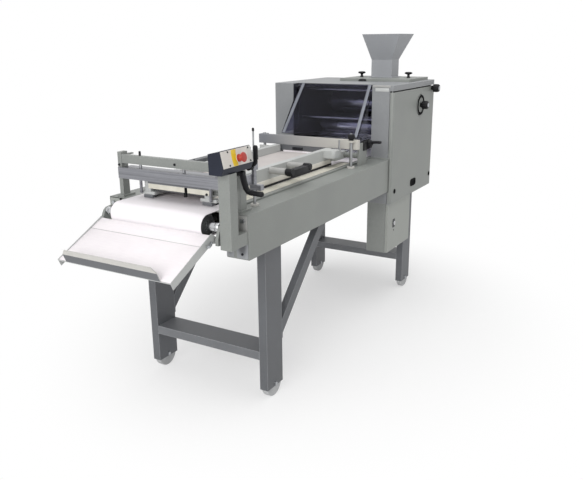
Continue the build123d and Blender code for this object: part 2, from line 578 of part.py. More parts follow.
# Rear crossbar with a lug for each column, hangers, pressure board with its entry lip
crossbar = block(CROSSBAR_X0, CROSSBAR_X1, CROSSBAR_Y0, CROSSBAR_Y1, CROSSBAR_Z0, CROSSBAR_Z1)
for column_x, column_y, foot_r in (NEAR_COLUMN, FAR_COLUMN):
    crossbar += block(min(column_x - LUG_HALF, CROSSBAR_X1), max(column_x + LUG_HALF, CROSSBAR_X0),
                      column_y - LUG_HALF, column_y + LUG_HALF, CROSSBAR_Z1 - LUG_THICK, CROSSBAR_Z1)
    crossbar -= rod_z(column_x, column_y, REAR_COLUMN_R + RUN, CROSSBAR_Z1 - LUG_THICK - 1, CROSSBAR_Z1 + 1)
add("rear_crossbar", crossbar)
front_plate = block(BOARD_X0 - FRONT_PLATE, BOARD_X0, -BOARD_HALF, BOARD_HALF, BOARD_Z0, BAR_Z1 - BAR_SHEET)
lip_end = BOARD_X1 + ENTRY_LIP
lip_front = lip_end - HANGER_THICK
entry_lip_top = BOARD_Z1 + 5
rear_hanger = block(lip_front, lip_end, HANGER_Y0, HANGER_Y1, entry_lip_top, CROSSBAR_Z0)
add("board_hangers", front_plate, rear_hanger)
board = block(BOARD_X0, BOARD_X1, -BOARD_HALF, BOARD_HALF, BOARD_Z0, BOARD_Z1)
board += slab_xz([(BOARD_X1, BOARD_Z0), (lip_end, BOARD_Z1 + 1), (lip_end, entry_lip_top),
                  (lip_front, entry_lip_top), (lip_front, BOARD_Z1 + 1), (BOARD_X1, BOARD_Z0 + 6)],
                 -BOARD_HALF, BOARD_HALF)
add("pressure_board", board)

# Knob on the operator-side rear column
knob_top = 1050.0
near_x, near_y = NEAR_COLUMN[:2]
rear_knob = soften(rod_z(near_x, near_y, 19, CROSSBAR_Z1, knob_top), 5)
rear_knob -= rod_z(near_x, near_y, REAR_COLUMN_R + RUN, CROSSBAR_Z1 - 1, knob_top - 3)
add("rear_knob", rear_knob)

# Cranked hand lever that hangs on the operator-side gantry post
lever_run = Vector(LEVER_TIP_X - LEVER_X, LEVER_TIP_Z - LEVER_Z, 0).normalized()
wide_x, wide_z = -lever_run.Y * LEVER_HALF, lever_run.X * LEVER_HALF
lever = rod_y(LEVER_X, LEVER_Z, LEVER_SHAFT_R, LEVER_LUG_Y1 - 1.5, LEVER_Y1)
lever += rod_y(LEVER_X, LEVER_Z, 13, LEVER_Y0, -GANTRY_Y1 - 0.5)
lever += slab_xz([(LEVER_X - wide_x, LEVER_Z - wide_z), (LEVER_X + wide_x, LEVER_Z + wide_z),
                  (LEVER_TIP_X + wide_x, LEVER_TIP_Z + wide_z), (LEVER_TIP_X - wide_x, LEVER_TIP_Z - wide_z)],
                 LEVER_Y0, LEVER_Y1)
grip = rod_y(LEVER_TIP_X, LEVER_TIP_Z, 11, LEVER_GRIP_END, LEVER_Y1)
lever += soften(grip, 6, Axis.Y, last=False)
add("hand_lever", lever)

# Clamp lever on the boss of the front column
elbow_y, elbow_z = front_y - 27, CLAMP_Z + 13
clamp_tip_z = elbow_z + 76
clamp_hub_x = front_x - 42
clamp = rod_x(front_y, CLAMP_Z, 11, clamp_hub_x, front_x - 16.5)
clamp += rod_x(front_y, CLAMP_Z, CLAMP_STUD_R, front_x - 17, front_x - 8.5)
clamp += slab_yz([(front_y + 7, CLAMP_Z + 8), (front_y - 7, CLAMP_Z - 8), (elbow_y - 8, elbow_z - 8),
                  (elbow_y - 12, clamp_tip_z), (elbow_y + 6, clamp_tip_z), (elbow_y + 8, elbow_z + 8)],
                 clamp_hub_x + 2, clamp_hub_x + 18)
add("front_clamp_lever", clamp)

# Rear clamp: round hub with a handle toward the operator
hub_x0, hub_x1 = REAR_CLAMP_X + 0.5, REAR_CLAMP_X + 42.0
rear_clamp = rod_x(REAR_CLAMP_Y, REAR_CLAMP_Z, 26, hub_x0, hub_x1)
rear_clamp = fillet(rear_clamp.edges().filter_by(GeomType.CIRCLE).sort_by(Axis.X)[-1], 6)
rear_clamp += rod_x(REAR_CLAMP_Y, REAR_CLAMP_Z, 3, REAR_CLAMP_X - 15, hub_x0)
handle = rod_y(REAR_CLAMP_X + 24, REAR_CLAMP_Z + 12, 8, REAR_CLAMP_Y - 76, REAR_CLAMP_Y)
rear_clamp += soften(handle, 4, Axis.Y, last=False)
add("rear_clamp", rear_clamp)

# Side guides: the operator side has a grip on its rods and runs on two slide bars
guide = block(GUIDE_X0, GUIDE_X1, -GUIDE_OUT, -GUIDE_IN, GUIDE_Z0, GUIDE_Z1)
guide -= block(GUIDE_X0 + SHEET, GUIDE_X1 - SHEET, -GUIDE_OUT + SHEET, -GUIDE_IN - SHEET,
               GUIDE_Z0 - 1, GUIDE_Z1 - SHEET)
far_guide = mirror(guide, about=Plane.XZ)
far_guide += block(GUIDE_X1 - FAR_PLATE, GUIDE_X1, GUIDE_OUT - 1, FAR_PLATE_END, FAR_PLATE_Z0, FAR_PLATE_Z1)
far_rods = [rod_y(x, FAR_ROD_Z, FAR_ROD_R, GUIDE_OUT, GUIDE_ROD_END) for x in GUIDE_ROD_X]
add("left_guide", far_guide, *far_rods)
grip = block(GUIDE_ROD_X[0], GUIDE_ROD_X[1], -CLAMP_Y1, -CLAMP_Y0, GRIP_Z0, GRIP_Z1)
for x in GUIDE_ROD_X:
    grip += rod_y(x, GUIDE_ROD_Z, GUIDE_ROD_R, -CLAMP_Y0, -GUIDE_OUT)
    grip += rod_y(x, GUIDE_ROD_Z, GRIP_R, -CLAMP_Y1, -CLAMP_Y0)
x0, x1, outer, z0, z1 = GUIDE_BLOCK
guide_block = block(x0, x1, -outer, -GUIDE_OUT, z0, z1)
guide_block = fillet(guide_block.edges().filter_by(Axis.Z).group_by(Axis.X)[0].group_by(Axis.Y)[0], 18)
pin_x, pin_y, pin_r, pin_top = GUIDE_PIN
guide_block += rod_z(pin_x, pin_y, pin_r, z1, pin_top)
x0, x1, outer, z0, z1 = GUIDE_ARM
guide_block += block(x0, x1, -outer, -GUIDE_OUT, z0, z1)
guide_block -= rod_y(rear_x, rear_z, rear_r + RUN, -outer - 1, -GUIDE_OUT + 1)
guide -= rod_y(slide_x, slide_z, slide_r + RUN, -GUIDE_OUT - 1, -GUIDE_IN + 1)
add("right_guide", guide, grip, guide_block)

# Clamp rail on the far beam that holds the rods of the far guide
rail = block(RAIL_X0, RAIL_X1, CLAMP_Y0, CLAMP_Y1, RAIL_Z0, RAIL_Z1)
for stand_x in RAIL_FEET:
    rail += block(stand_x, stand_x + 30, CLAMP_Y0, CLAMP_Y1, BEAM_TOP, RAIL_Z0)
for x in GUIDE_ROD_X:
    rail -= rod_y(x, FAR_ROD_Z, FAR_ROD_R + RUN, CLAMP_Y0 - 1, CLAMP_Y1 + 1)
add("guide_clamps", rail)

# Head housings: hollow side boxes with bearing walls; the operator side is closed by the cover door
WALL_WINDOW_TOP = 884.0


def wall_holes(y0, y1):
    """Roller shaft openings through a bearing wall, one of them a slot for the adjustable roller."""
    cuts = block(SHEET_FRONT[0] - 29, SHEET_FRONT[0] + 20, y0, y1, SHEET_FRONT[1] - 20, SHEET_FRONT[1] + 20)
    for x, z in (FEED_FRONT, FEED_REAR, SHEET_REAR):
        cuts += rod_y(x, z, 20, y0, y1)
    return cuts


right = block(HEAD_FRONT, HEAD_REAR, -SIDE_OPEN_Y, -HEAD_IN, HEAD_BOTTOM, HEAD_TOP)
right -= block(HEAD_FRONT + SHEET, HEAD_REAR - SHEET, -SIDE_OPEN_Y - 1, -HEAD_IN - SHEET,
               HEAD_BOTTOM + SHEET, HEAD_TOP - SHEET)
ledge = round_outer(block(HEAD_FRONT, HEAD_REAR, -HEAD_OUT, -SIDE_OPEN_Y, LEDGE_Z, HEAD_TOP), EDGE_R)
right += ledge - block(HEAD_FRONT + 20, HEAD_REAR - 20, -HEAD_OUT + SHEET, -SIDE_OPEN_Y + 1,
                       LEDGE_Z - 1, HEAD_TOP - SHEET)
beam_gap = block(HEAD_FRONT - 1, HEAD_FRONT + SHEET + 1, -BEAM_WEB_Y, -HEAD_IN + 1,
                 BEAM_BOTTOM, WALL_WINDOW_TOP)
wall_window = block(HEAD_FRONT + SHEET, HEAD_REAR - SHEET, -HEAD_IN - SHEET - 1, -HEAD_IN + 1,
                    BEAM_BOTTOM, WALL_WINDOW_TOP)
leg_gap = block(REAR_LEG_X - LEG_X / 2, REAR_LEG_X + LEG_X / 2,
                -LEG_CENTRE_Y - LEG_Y / 2, -LEG_CENTRE_Y + LEG_Y / 2,
                HEAD_BOTTOM - 1, HEAD_BOTTOM + SHEET + 1)
right -= beam_gap + wall_window + leg_gap + wall_holes(-HEAD_IN - SHEET - 1, -HEAD_IN + 1)
dial_bracket = block(DIAL[0] - 20, DIAL[0] + 20, DIAL_WALL_Y, DIAL_WALL_Y + 6,
                     DIAL[1] - 26, HEAD_TOP - SHEET)
right += dial_bracket - rod_y(*DIAL, DIAL_SHAFT_R + RUN, DIAL_WALL_Y - 1, DIAL_WALL_Y + 7)
pivot_x, pivot_y = DOOR_PIVOT
right += rod_z(pivot_x, pivot_y, DOOR_PIN_R, DOOR_Z1 - DOOR_PIN_DEPTH, LEDGE_Z)
right += block(HEAD_FRONT + 0.5, HEAD_FRONT + 12, pivot_y - 4, -SIDE_OPEN_Y + 2,
               HEAD_BOTTOM - 4, HEAD_BOTTOM + 1)
right += rod_z(pivot_x, pivot_y, DOOR_PIN_R, HEAD_BOTTOM, DOOR_Z0 + DOOR_PIN_DEPTH)
add("right_housing", right)

left = round_outer(block(HEAD_FRONT, HEAD_REAR, -HEAD_OUT, -HEAD_IN, HEAD_BOTTOM, HEAD_TOP), EDGE_R)
left = mirror(left, about=Plane.XZ)
left -= block(HEAD_FRONT + SHEET, HEAD_REAR - SHEET, HEAD_IN + SHEET, HEAD_OUT - 5,
              HEAD_BOTTOM - 1, HEAD_TOP - SHEET)
left -= mirror(beam_gap + wall_window, about=Plane.XZ) + wall_holes(HEAD_IN - 1, HEAD_IN + SHEET + 1)
add("left_housing", left)

# Cover door on the operator side: a shallow pan with a hole for the dial and for its closing knob
door = round_outer(block(HEAD_FRONT, HEAD_REAR, -HEAD_OUT, -DOOR_IN_Y, DOOR_Z0, DOOR_Z1), EDGE_R)
pan = block(HEAD_FRONT + DOOR_SHEET, HEAD_REAR - DOOR_SHEET, -HEAD_OUT + DOOR_SHEET, -DOOR_IN_Y + 20,
            DOOR_Z0 + DOOR_SHEET, DOOR_Z1 - DOOR_SHEET)
door -= round_outer(pan, EDGE_R - DOOR_SHEET)
door -= block(HEAD_FRONT - 1, HEAD_FRONT + DOOR_SHEET + 1, DOOR_NOTCH_Y, -DOOR_IN_Y + 1,
              BEAM_BOTTOM - SHEET, BEAM_TOP + SHEET)
door -= block(HEAD_REAR - DOOR_SHEET - 1, HEAD_REAR + 1, DOOR_NOTCH_Y, -DOOR_IN_Y + 1,
              BEAM_BOTTOM - SHEET, BEAM_TOP + SHEET)
door -= rod_y(*DIAL, DIAL_HOLE_R, -HEAD_OUT - 1, -HEAD_OUT + 6)
door -= rod_y(*COVER_KNOB, COVER_STUD_R + RUN, -HEAD_OUT - 1, -HEAD_OUT + 6)
for pin_z in (DOOR_Z0, DOOR_Z1):
    door -= rod_z(pivot_x, pivot_y, DOOR_PIN_R + RUN, pin_z - DOOR_PIN_DEPTH - 1, pin_z + DOOR_PIN_DEPTH + 1)
add("cover_door", door)


def turning_knob(x, z, back_y):
    """Round knob along Y with a small cap on its end."""
    knob = rod_y(x, z, KNOB_R, KNOB_END_Y + 4, back_y)
    knob = soften(knob, 4, Axis.Y, last=False)
    return knob + rod_y(x, z, KNOB_CAP_R - 4, KNOB_END_Y, KNOB_END_Y + 5)


cover_knob = turning_knob(*COVER_KNOB, -HEAD_OUT - 1)
cover_knob += rod_y(*COVER_KNOB, COVER_STUD_R, -HEAD_OUT - 2, -SIDE_OPEN_Y + 10)
add("cover_knob", cover_knob)
dial = rod_y(*DIAL, DIAL_R, DIAL_BACK_Y, DIAL_BACK_Y + 4)
dial += turning_knob(*DIAL, DIAL_BACK_Y)
dial += rod_y(*DIAL, 2 * DIAL_SHAFT_R, DIAL_BACK_Y + 3, DIAL_BACK_Y + 23)
dial += rod_y(*DIAL, DIAL_SHAFT_R, DIAL_BACK_Y + 22, DIAL_WALL_Y + 10)
add("gap_dial", dial)

# Top and rear cover of the head, hopper plate, hopper and knobs

def neck_block(rim, z0, z1):
    """Block with the plan of the hopper's neck, wider by rim on each side."""
    x, y = NECK_CENTRE
    half_x, half_y = NECK_X / 2 + rim, NECK_Y / 2 + rim
    return block(x - half_x, x + half_x, y - half_y, y + half_y, z0, z1)


throat = neck_block(1, HEAD_TOP - 20, PLATE_TOP + 1)
cover = block(COVER_FRONT, HEAD_REAR, -HEAD_IN, HEAD_IN, HEAD_TOP - SHEET, HEAD_TOP)
cover += block(COVER_FRONT, COVER_FRONT + SHEET, -HEAD_IN, HEAD_IN, HEAD_TOP - 26, HEAD_TOP)
cover += block(HEAD_REAR - SHEET, HEAD_REAR, -HEAD_IN, HEAD_IN, 700, HEAD_TOP)
add("head_cover", cover - throat)
plate = block(PLATE_X0, PLATE_X1, PLATE_Y0, PLATE_Y1, HEAD_TOP, PLATE_TOP)
plate -= block(PLATE_X0 + SHEET, PLATE_X1 - SHEET, PLATE_Y0 + SHEET, PLATE_Y1 - SHEET,
               HEAD_TOP - 1, PLATE_TOP - SHEET)
add("hopper_plate", plate - throat)


def funnel(inset):
    """Square neck that flares to a wide mouth, drawn smaller by inset on each side."""
    neck = Rectangle(NECK_X - 2 * inset, NECK_Y - 2 * inset)
    mouth = Rectangle(MOUTH_SIDE - 2 * inset, MOUTH_SIDE - 2 * inset)
    low, middle, high = HOPPER_Z
    flare = loft([Pos(*NECK_CENTRE, middle) * neck, Pos(*MOUTH_CENTRE, high) * mouth])
    return flare + extrude(Pos(*NECK_CENTRE, low) * neck, amount=middle - low)


collar = neck_block(COLLAR_RIM, PLATE_TOP, PLATE_TOP + 4)
through = neck_block(-HOPPER_WALL, HOPPER_Z[0] - 1, HOPPER_Z[1])
add("hopper", funnel(0) + collar - funnel(HOPPER_WALL) - through)
for hand, knob_y in HOPPER_KNOB_Y.items():
    top_knob = rod_z(HOPPER_KNOB_X, knob_y, 23, 1319, 1331)
    top_knob = fillet(top_knob.edges().filter_by(GeomType.CIRCLE), 4)
    add(f"hopper_knob_{hand}", top_knob + rod_z(HOPPER_KNOB_X, knob_y, 8, PLATE_TOP, 1320))

# Guard: sloping tinted sheet with a cheek at each side, edge strips on its face
sheet = slab_xz(strip_points(GUARD_TOP, GUARD_FRONT, -GUARD_SHEET), -GUARD_HALF, GUARD_HALF)
cheek = [GUARD_TOP, GUARD_FRONT, (1415, GUARD_FRONT[1]), (1452, 1258)]
guard = sheet
for side in (-1, 1):
    guard += slab_xz(cheek, side * (GUARD_HALF - GUARD_SHEET), side * GUARD_HALF)
    guard -= rod_y(*GUARD_PIVOT, GUARD_PIN_R + RUN, side * (GUARD_HALF - 9), side * (GUARD_HALF + 1))
add("guard_panel", guard)
half_strip = GUARD_STRIP / 2
corners = [(GUARD_TOP[0], -GUARD_STRIP_Y[0] - half_strip, GUARD_TOP[1]),
           (GUARD_TOP[0], -GUARD_STRIP_Y[0] + half_strip, GUARD_TOP[1]),
           (GUARD_FRONT[0], -GUARD_STRIP_Y[1] + half_strip, GUARD_FRONT[1]),
           (GUARD_FRONT[0], -GUARD_STRIP_Y[1] - half_strip, GUARD_FRONT[1])]
guard_fall = (GUARD_FRONT[0] - GUARD_TOP[0], 0, GUARD_FRONT[1] - GUARD_TOP[1])
guard_out = (guard_fall[2], 0, -guard_fall[0])
strip = extrude(make_face(Polyline(*corners, close=True)), amount=SHEET, dir=guard_out)
add("guard_strips", *both_sides(strip))

# Rods across the head: stop rod, upper tie rod, net rod and the guard's pivot pins
guard_pin = rod_y(*GUARD_PIVOT, GUARD_PIN_R, -HEAD_IN, -GUARD_HALF + 8)
cross_rods = [rod_y(x, z, r, -HEAD_IN, HEAD_IN) for (x, z), r in (GUARD_STOP, TIE_ROD, (NET_ROD, 8.0))]
add("head_rods", *cross_rods, *both_sides(guard_pin))

# Curling net: flat mesh that hangs from its rod and trails on the belt
NET_GAP = 18.0
NET_PITCH = 24.0
NET_COUNT = (13, 16)
net_low = (1345.0, 889.5)
net_high = (NET_ROD[0] - 9, NET_ROD[1] - 7)
net_length = hypot(net_high[0] - net_low[0], net_high[1] - net_low[1])
net_slope = degrees(atan2(net_high[1] - net_low[1], net_high[0] - net_low[0]))
mesh = Rectangle(net_length, NET_COUNT[1] * NET_PITCH + 6)
mesh -= GridLocations(NET_PITCH, NET_PITCH, *NET_COUNT) * Rectangle(NET_GAP, NET_GAP)
net_place = Pos((net_low[0] + net_high[0]) / 2, 0, (net_low[1] + net_high[1]) / 2) * Rot(0, -net_slope, 0)
add("curling_net", net_place * extrude(mesh, amount=SHEET))


def gear(centre, teeth, pitch_r, y0, y1, phase):
    """Spur gear with straight-sided teeth and generous backlash; phase is the angle of one tooth."""
    step = 2 * pi / teeth
    root_r, tip_r = pitch_r - 6, pitch_r + 4
    points = []
    for i in range(teeth):
        middle = radians(phase) + i * step
        for share, r in ((-0.25, root_r), (-0.1, tip_r), (0.1, tip_r), (0.25, root_r)):
            angle = middle + share * step
            points.append((centre[0] + r * cos(angle), centre[1] + r * sin(angle)))
    return slab_xz(points, y0, y1)


def head_roller(centre, r, shaft_end):
    """Stainless roller with its journals turned on the same bar."""
    barrel = rod_y(centre[0], centre[1], r, BARREL_Y0, BARREL_Y1)
    return barrel + rod_y(centre[0], centre[1], SHAFT_R, shaft_end, SHAFT_LEFT_Y)


feed_pitch = (FEED_REAR[0] - FEED_FRONT[0]) / 2
sheet_pitch = hypot(SHEET_REAR[0] - SHEET_FRONT[0], SHEET_REAR[1] - SHEET_FRONT[1]) / 2
sheet_angle = degrees(atan2(SHEET_REAR[1] - SHEET_FRONT[1], SHEET_REAR[0] - SHEET_FRONT[0]))
half_feed = 180.0 / FEED_TEETH
half_sheet = 180.0 / SHEET_TEETH
add("feed_roller_front", head_roller(FEED_FRONT, FEED_R, -286)
    + gear(FEED_FRONT, FEED_TEETH, feed_pitch, *FEED_GEAR_Y, 0))
add("feed_roller_rear", head_roller(FEED_REAR, FEED_R, -338)
    + gear(FEED_REAR, FEED_TEETH, feed_pitch, *FEED_GEAR_Y, 180 + half_feed)
    + rod_y(FEED_REAR[0], FEED_REAR[1], SPROCKET_R, SPROCKET_Y0, SPROCKET_Y1))
add("sheet_roller_front", head_roller(SHEET_FRONT, SHEET_R, -308)
    + gear(SHEET_FRONT, SHEET_TEETH, sheet_pitch, *SHEET_GEAR_Y, sheet_angle))
add("sheet_roller_rear", head_roller(SHEET_REAR, SHEET_R, -308)
    + gear(SHEET_REAR, SHEET_TEETH, sheet_pitch, *SHEET_GEAR_Y, sheet_angle + 180 + half_sheet))

# Bearings: flange rings on the walls, and sliding blocks for the adjustable roller
bearings = []
for side in (-1, 1):
    wall = side * (HEAD_IN + SHEET)
    for x, z in (FEED_FRONT, FEED_REAR, SHEET_REAR):
        ring = rod_y(x, z, 28, wall, wall + side * 10)
        bearings.append(ring - rod_y(x, z, SHAFT_R + RUN, wall - side, wall + side * 11))
    web = side * (BEAM_WEB_Y - BEAM_WALL)
    ring = rod_y(DRIVE_X, ROLLER_Z, 26, web - side * 10, web)
    bearings.append(ring - rod_y(DRIVE_X, ROLLER_Z, DRIVE_SHAFT_R + RUN, web - side * 11, web + side))
add("roller_bearings", *bearings)
block_half = 30.0
wall_y = -HEAD_IN - SHEET
slide_block = block(SHEET_FRONT[0] - block_half, SHEET_FRONT[0] + block_half, wall_y - 10.5, wall_y - 0.5,
                    SHEET_FRONT[1] - block_half, SHEET_FRONT[1] + block_half)
slide_block -= rod_y(*SHEET_FRONT, SHAFT_R + RUN, wall_y - 12, wall_y)
add("gap_bearings", *both_sides(slide_block))

# Gear motor on the beam inside the operator-side housing, its sprocket and the drive chain
motor_x, motor_z = MOTOR_OUT
case_z = motor_z - 48
gearbox = block(motor_x - 45, motor_x + 45, GEARBOX_Y0, GEARBOX_Y1, case_z, motor_z + 48)
gearbox += block(motor_x - 38, motor_x + 38, GEARBOX_Y0, GEARBOX_Y1, BEAM_TOP, case_z)
gearbox += rod_x(MOTOR_Y, motor_z, MOTOR_R, MOTOR_BACK_X, motor_x - 45)
gearbox += block(MOTOR_BACK_X + 37, MOTOR_BACK_X + 107, MOTOR_Y - 26, MOTOR_Y + 26,
                 motor_z + 30, motor_z + 66)
gearbox -= rod_y(*MOTOR_OUT, MOTOR_SHAFT_R + RUN, GEARBOX_Y0 - 1, GEARBOX_Y0 + 18)
add("gear_motor", gearbox)
add("motor_sprocket", rod_y(*MOTOR_OUT, MOTOR_SHAFT_R, SPROCKET_Y0 - 3, GEARBOX_Y0 + 17)
    + rod_y(*MOTOR_OUT, MOTOR_SPROCKET_R, SPROCKET_Y0, SPROCKET_Y1))
chain_stops = ((MOTOR_OUT, MOTOR_SPROCKET_R), ((DRIVE_X, ROLLER_Z), SPROCKET_R), (FEED_REAR, SPROCKET_R))


def chain_outline(extra):
    """Tight loop around the three sprockets, larger than them by extra."""
    circles = [Pos(x, z) * Edge.make_circle(r + extra) for (x, z), r in chain_stops]
    return make_hull(circles)


chain_plane = Plane((0, CHAIN_Y0, 0), x_dir=(1, 0, 0), z_dir=(0, -1, 0))
chain_loop = chain_outline(CHAIN_GAP + CHAIN_THICK) - chain_outline(CHAIN_GAP)
add("drive_chain", extrude(chain_plane * chain_loop, amount=CHAIN_WIDTH))

# Electrical cabinet with its door, lock, switchgear and cable gland
cabinet = block(CAB_X0, CAB_X1, CAB_Y0, CAB_Y1, CAB_Z0, HEAD_BOTTOM)
cabinet -= block(CAB_X0 + SHEET, CAB_X1 - SHEET, CAB_Y0 - 1, CAB_Y1 - SHEET,
                 CAB_Z0 + SHEET, HEAD_BOTTOM - SHEET)
hinge_x, hinge_y = CAB_PIVOT
for z0, z1, pin0, pin1 in ((CAB_Z0 - 3, CAB_Z0 + 0.5, CAB_Z0 - 1, CAB_DOOR_Z0 + 5),
                           (HEAD_BOTTOM - 3.5, HEAD_BOTTOM - 0.5, CAB_DOOR_Z1 - 5, HEAD_BOTTOM - 2)):
    cabinet += block(CAB_X1 - 11, CAB_X1, hinge_y - 4, CAB_Y0 + 2, z0, z1)
    cabinet += rod_z(hinge_x, hinge_y, CAB_PIN_R, pin0, pin1)
add("cabinet_body", cabinet)
cab_door = block(CAB_X0, CAB_X1, CAB_DOOR_Y, CAB_Y0 - 1.5, CAB_DOOR_Z0, CAB_DOOR_Z1)
cab_door -= block(CAB_X0 + DOOR_SHEET, CAB_X1 - DOOR_SHEET, CAB_DOOR_Y + DOOR_SHEET, CAB_Y0,
                  CAB_DOOR_Z0 + DOOR_SHEET, CAB_DOOR_Z1 - DOOR_SHEET)
cab_door -= block(CAB_X1 - DOOR_SHEET - 1, CAB_X1 + 1, hinge_y + 2, CAB_Y0,
                  CAB_DOOR_Z0 - 1, CAB_DOOR_Z1 + 1)
cab_door -= rod_z(hinge_x, hinge_y, CAB_PIN_R + RUN, CAB_DOOR_Z0 - 1, CAB_DOOR_Z1 + 1)
cab_door -= rod_y(*LOCK, LOCK_R + RUN, CAB_DOOR_Y - 1, CAB_DOOR_Y + 5)
add("cabinet_door", cab_door)
lock = rod_y(*LOCK, 2 * LOCK_R, CAB_DOOR_Y - 4, CAB_DOOR_Y - 0.3)
lock += rod_y(*LOCK, LOCK_R, CAB_DOOR_Y - 1, CAB_DOOR_Y + 8)
lock += block(LOCK[0] - 30, LOCK[0] + 8, CAB_DOOR_Y + 5, CAB_DOOR_Y + 8, LOCK[1] - LOCK_R, LOCK[1] + LOCK_R)
lock -= block(LOCK[0] - 1.5, LOCK[0] + 1.5, CAB_DOOR_Y - 5, CAB_DOOR_Y - 2, LOCK[1] - 8, LOCK[1] + 8)
add("cabinet_lock", lock)
back = CAB_Y1 - SHEET
fittings = [block(CAB_X0 + 24, CAB_X1 - 23, back - SHEET, back, CAB_Z0 + 24, HEAD_BOTTOM - 25)]
for x0, width, depth, z0, height in SWITCHGEAR:
    fittings.append(block(x0, x0 + width, back - SHEET - depth, back - SHEET, z0, z0 + height))
gland = rod_z(*GLAND, GLAND_R, CAB_Z0 - 24, CAB_Z0) + rod_z(*GLAND, GLAND_R + 5, CAB_Z0 - 9, CAB_Z0)
add("cabinet_fittings", *fittings, gland)

os.makedirs("parts", exist_ok=True)
to_middle = Location((-MID_X, -MID_Y, 0))
for name, solids in nodes.items():
    placed = [solid.moved(to_middle) for solid in solids]
    export_step(Compound(placed), f"parts/{name}.step")
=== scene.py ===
from math import cos, pi, radians, sin

import bmesh
import bpy
from mathutils import Matrix, Vector


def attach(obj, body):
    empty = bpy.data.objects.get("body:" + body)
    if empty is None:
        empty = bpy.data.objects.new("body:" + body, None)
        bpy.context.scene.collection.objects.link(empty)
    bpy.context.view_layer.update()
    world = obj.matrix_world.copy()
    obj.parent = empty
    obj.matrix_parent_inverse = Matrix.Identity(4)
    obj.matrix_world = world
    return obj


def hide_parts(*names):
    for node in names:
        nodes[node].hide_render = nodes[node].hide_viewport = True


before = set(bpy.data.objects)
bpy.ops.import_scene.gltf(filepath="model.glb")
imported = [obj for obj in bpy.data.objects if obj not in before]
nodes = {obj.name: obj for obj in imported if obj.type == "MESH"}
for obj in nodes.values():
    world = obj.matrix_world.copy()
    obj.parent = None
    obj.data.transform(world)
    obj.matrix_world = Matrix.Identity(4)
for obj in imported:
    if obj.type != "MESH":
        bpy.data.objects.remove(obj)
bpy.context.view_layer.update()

# Pieces are drawn in millimetres from the front end of the beams, the middle of the belt and the floor.
# X runs towards the head, and the operator stands on the side of negative Y.
FRAME_ORIGIN = Vector((828.3, -25.0, 0.0))
TO_FRAME = Matrix.Scale(0.001, 4) @ Matrix.Translation(-FRAME_ORIGIN)
X, Y, Z = Vector((1, 0, 0)), Vector((0, 1, 0)), Vector((0, 0, 1))
OPERATOR, FAR = -1, 1


# Materials

# Detail of the noises in a finish, what they give to its tone, and where tone and gloss run
PATCH_DETAIL, GRAIN_DETAIL = 4.0, 3.0
PATCH_SHARE, GRAIN_SHARE = 0.6, 0.4
TONE_SPAN, GLOSS_SPAN = (0.36, 0.64), (0.35, 0.65)
RELIEF_STRENGTH = 0.6
# An edge is worn and carries a painted highlight where its softened normal leaves the face's own: cosines of
# that turn, and the most of that lighter colour
WORN_LIT_SPAN, WORN_LIT_MOST = (0.985, 0.90), 0.55
# The inside of the head, which takes a painted shade, and where across the machine the far colour of a
# painted reflection fades in, in metres
HEAD_CENTRE, HEAD_HALF = (0.8917, 0.025, 0.7), (0.328, 0.2485, 0.5688)
PAINTED_REFLECTION_SPAN = (-0.22, 0.28)


def linear(code):
    """sRGB hex colour as linear RGBA."""
    parts = [int(code[i:i + 2], 16) / 255 for i in (1, 3, 5)]
    return (*[c / 12.92 if c <= 0.04045 else ((c + 0.055) / 1.055) ** 2.4 for c in parts], 1.0)


def node(material, kind, inputs=(), **settings):
    """Adds a shader node with its settings. Inputs, in order or by socket, are values or sockets to link."""
    made = material.node_tree.nodes.new("ShaderNode" + kind)
    for name, value in settings.items():
        setattr(made, name, value)
    for socket, value in inputs.items() if isinstance(inputs, dict) else enumerate(inputs):
        if isinstance(value, bpy.types.NodeSocket):
            material.node_tree.links.new(value, made.inputs[socket])
        else:
            made.inputs[socket].default_value = value
    return made


def new_material(name):
    """Material that has no nodes yet."""
    material = bpy.data.materials.new(name)
    material.use_nodes = True
    material.node_tree.nodes.clear()
    return material


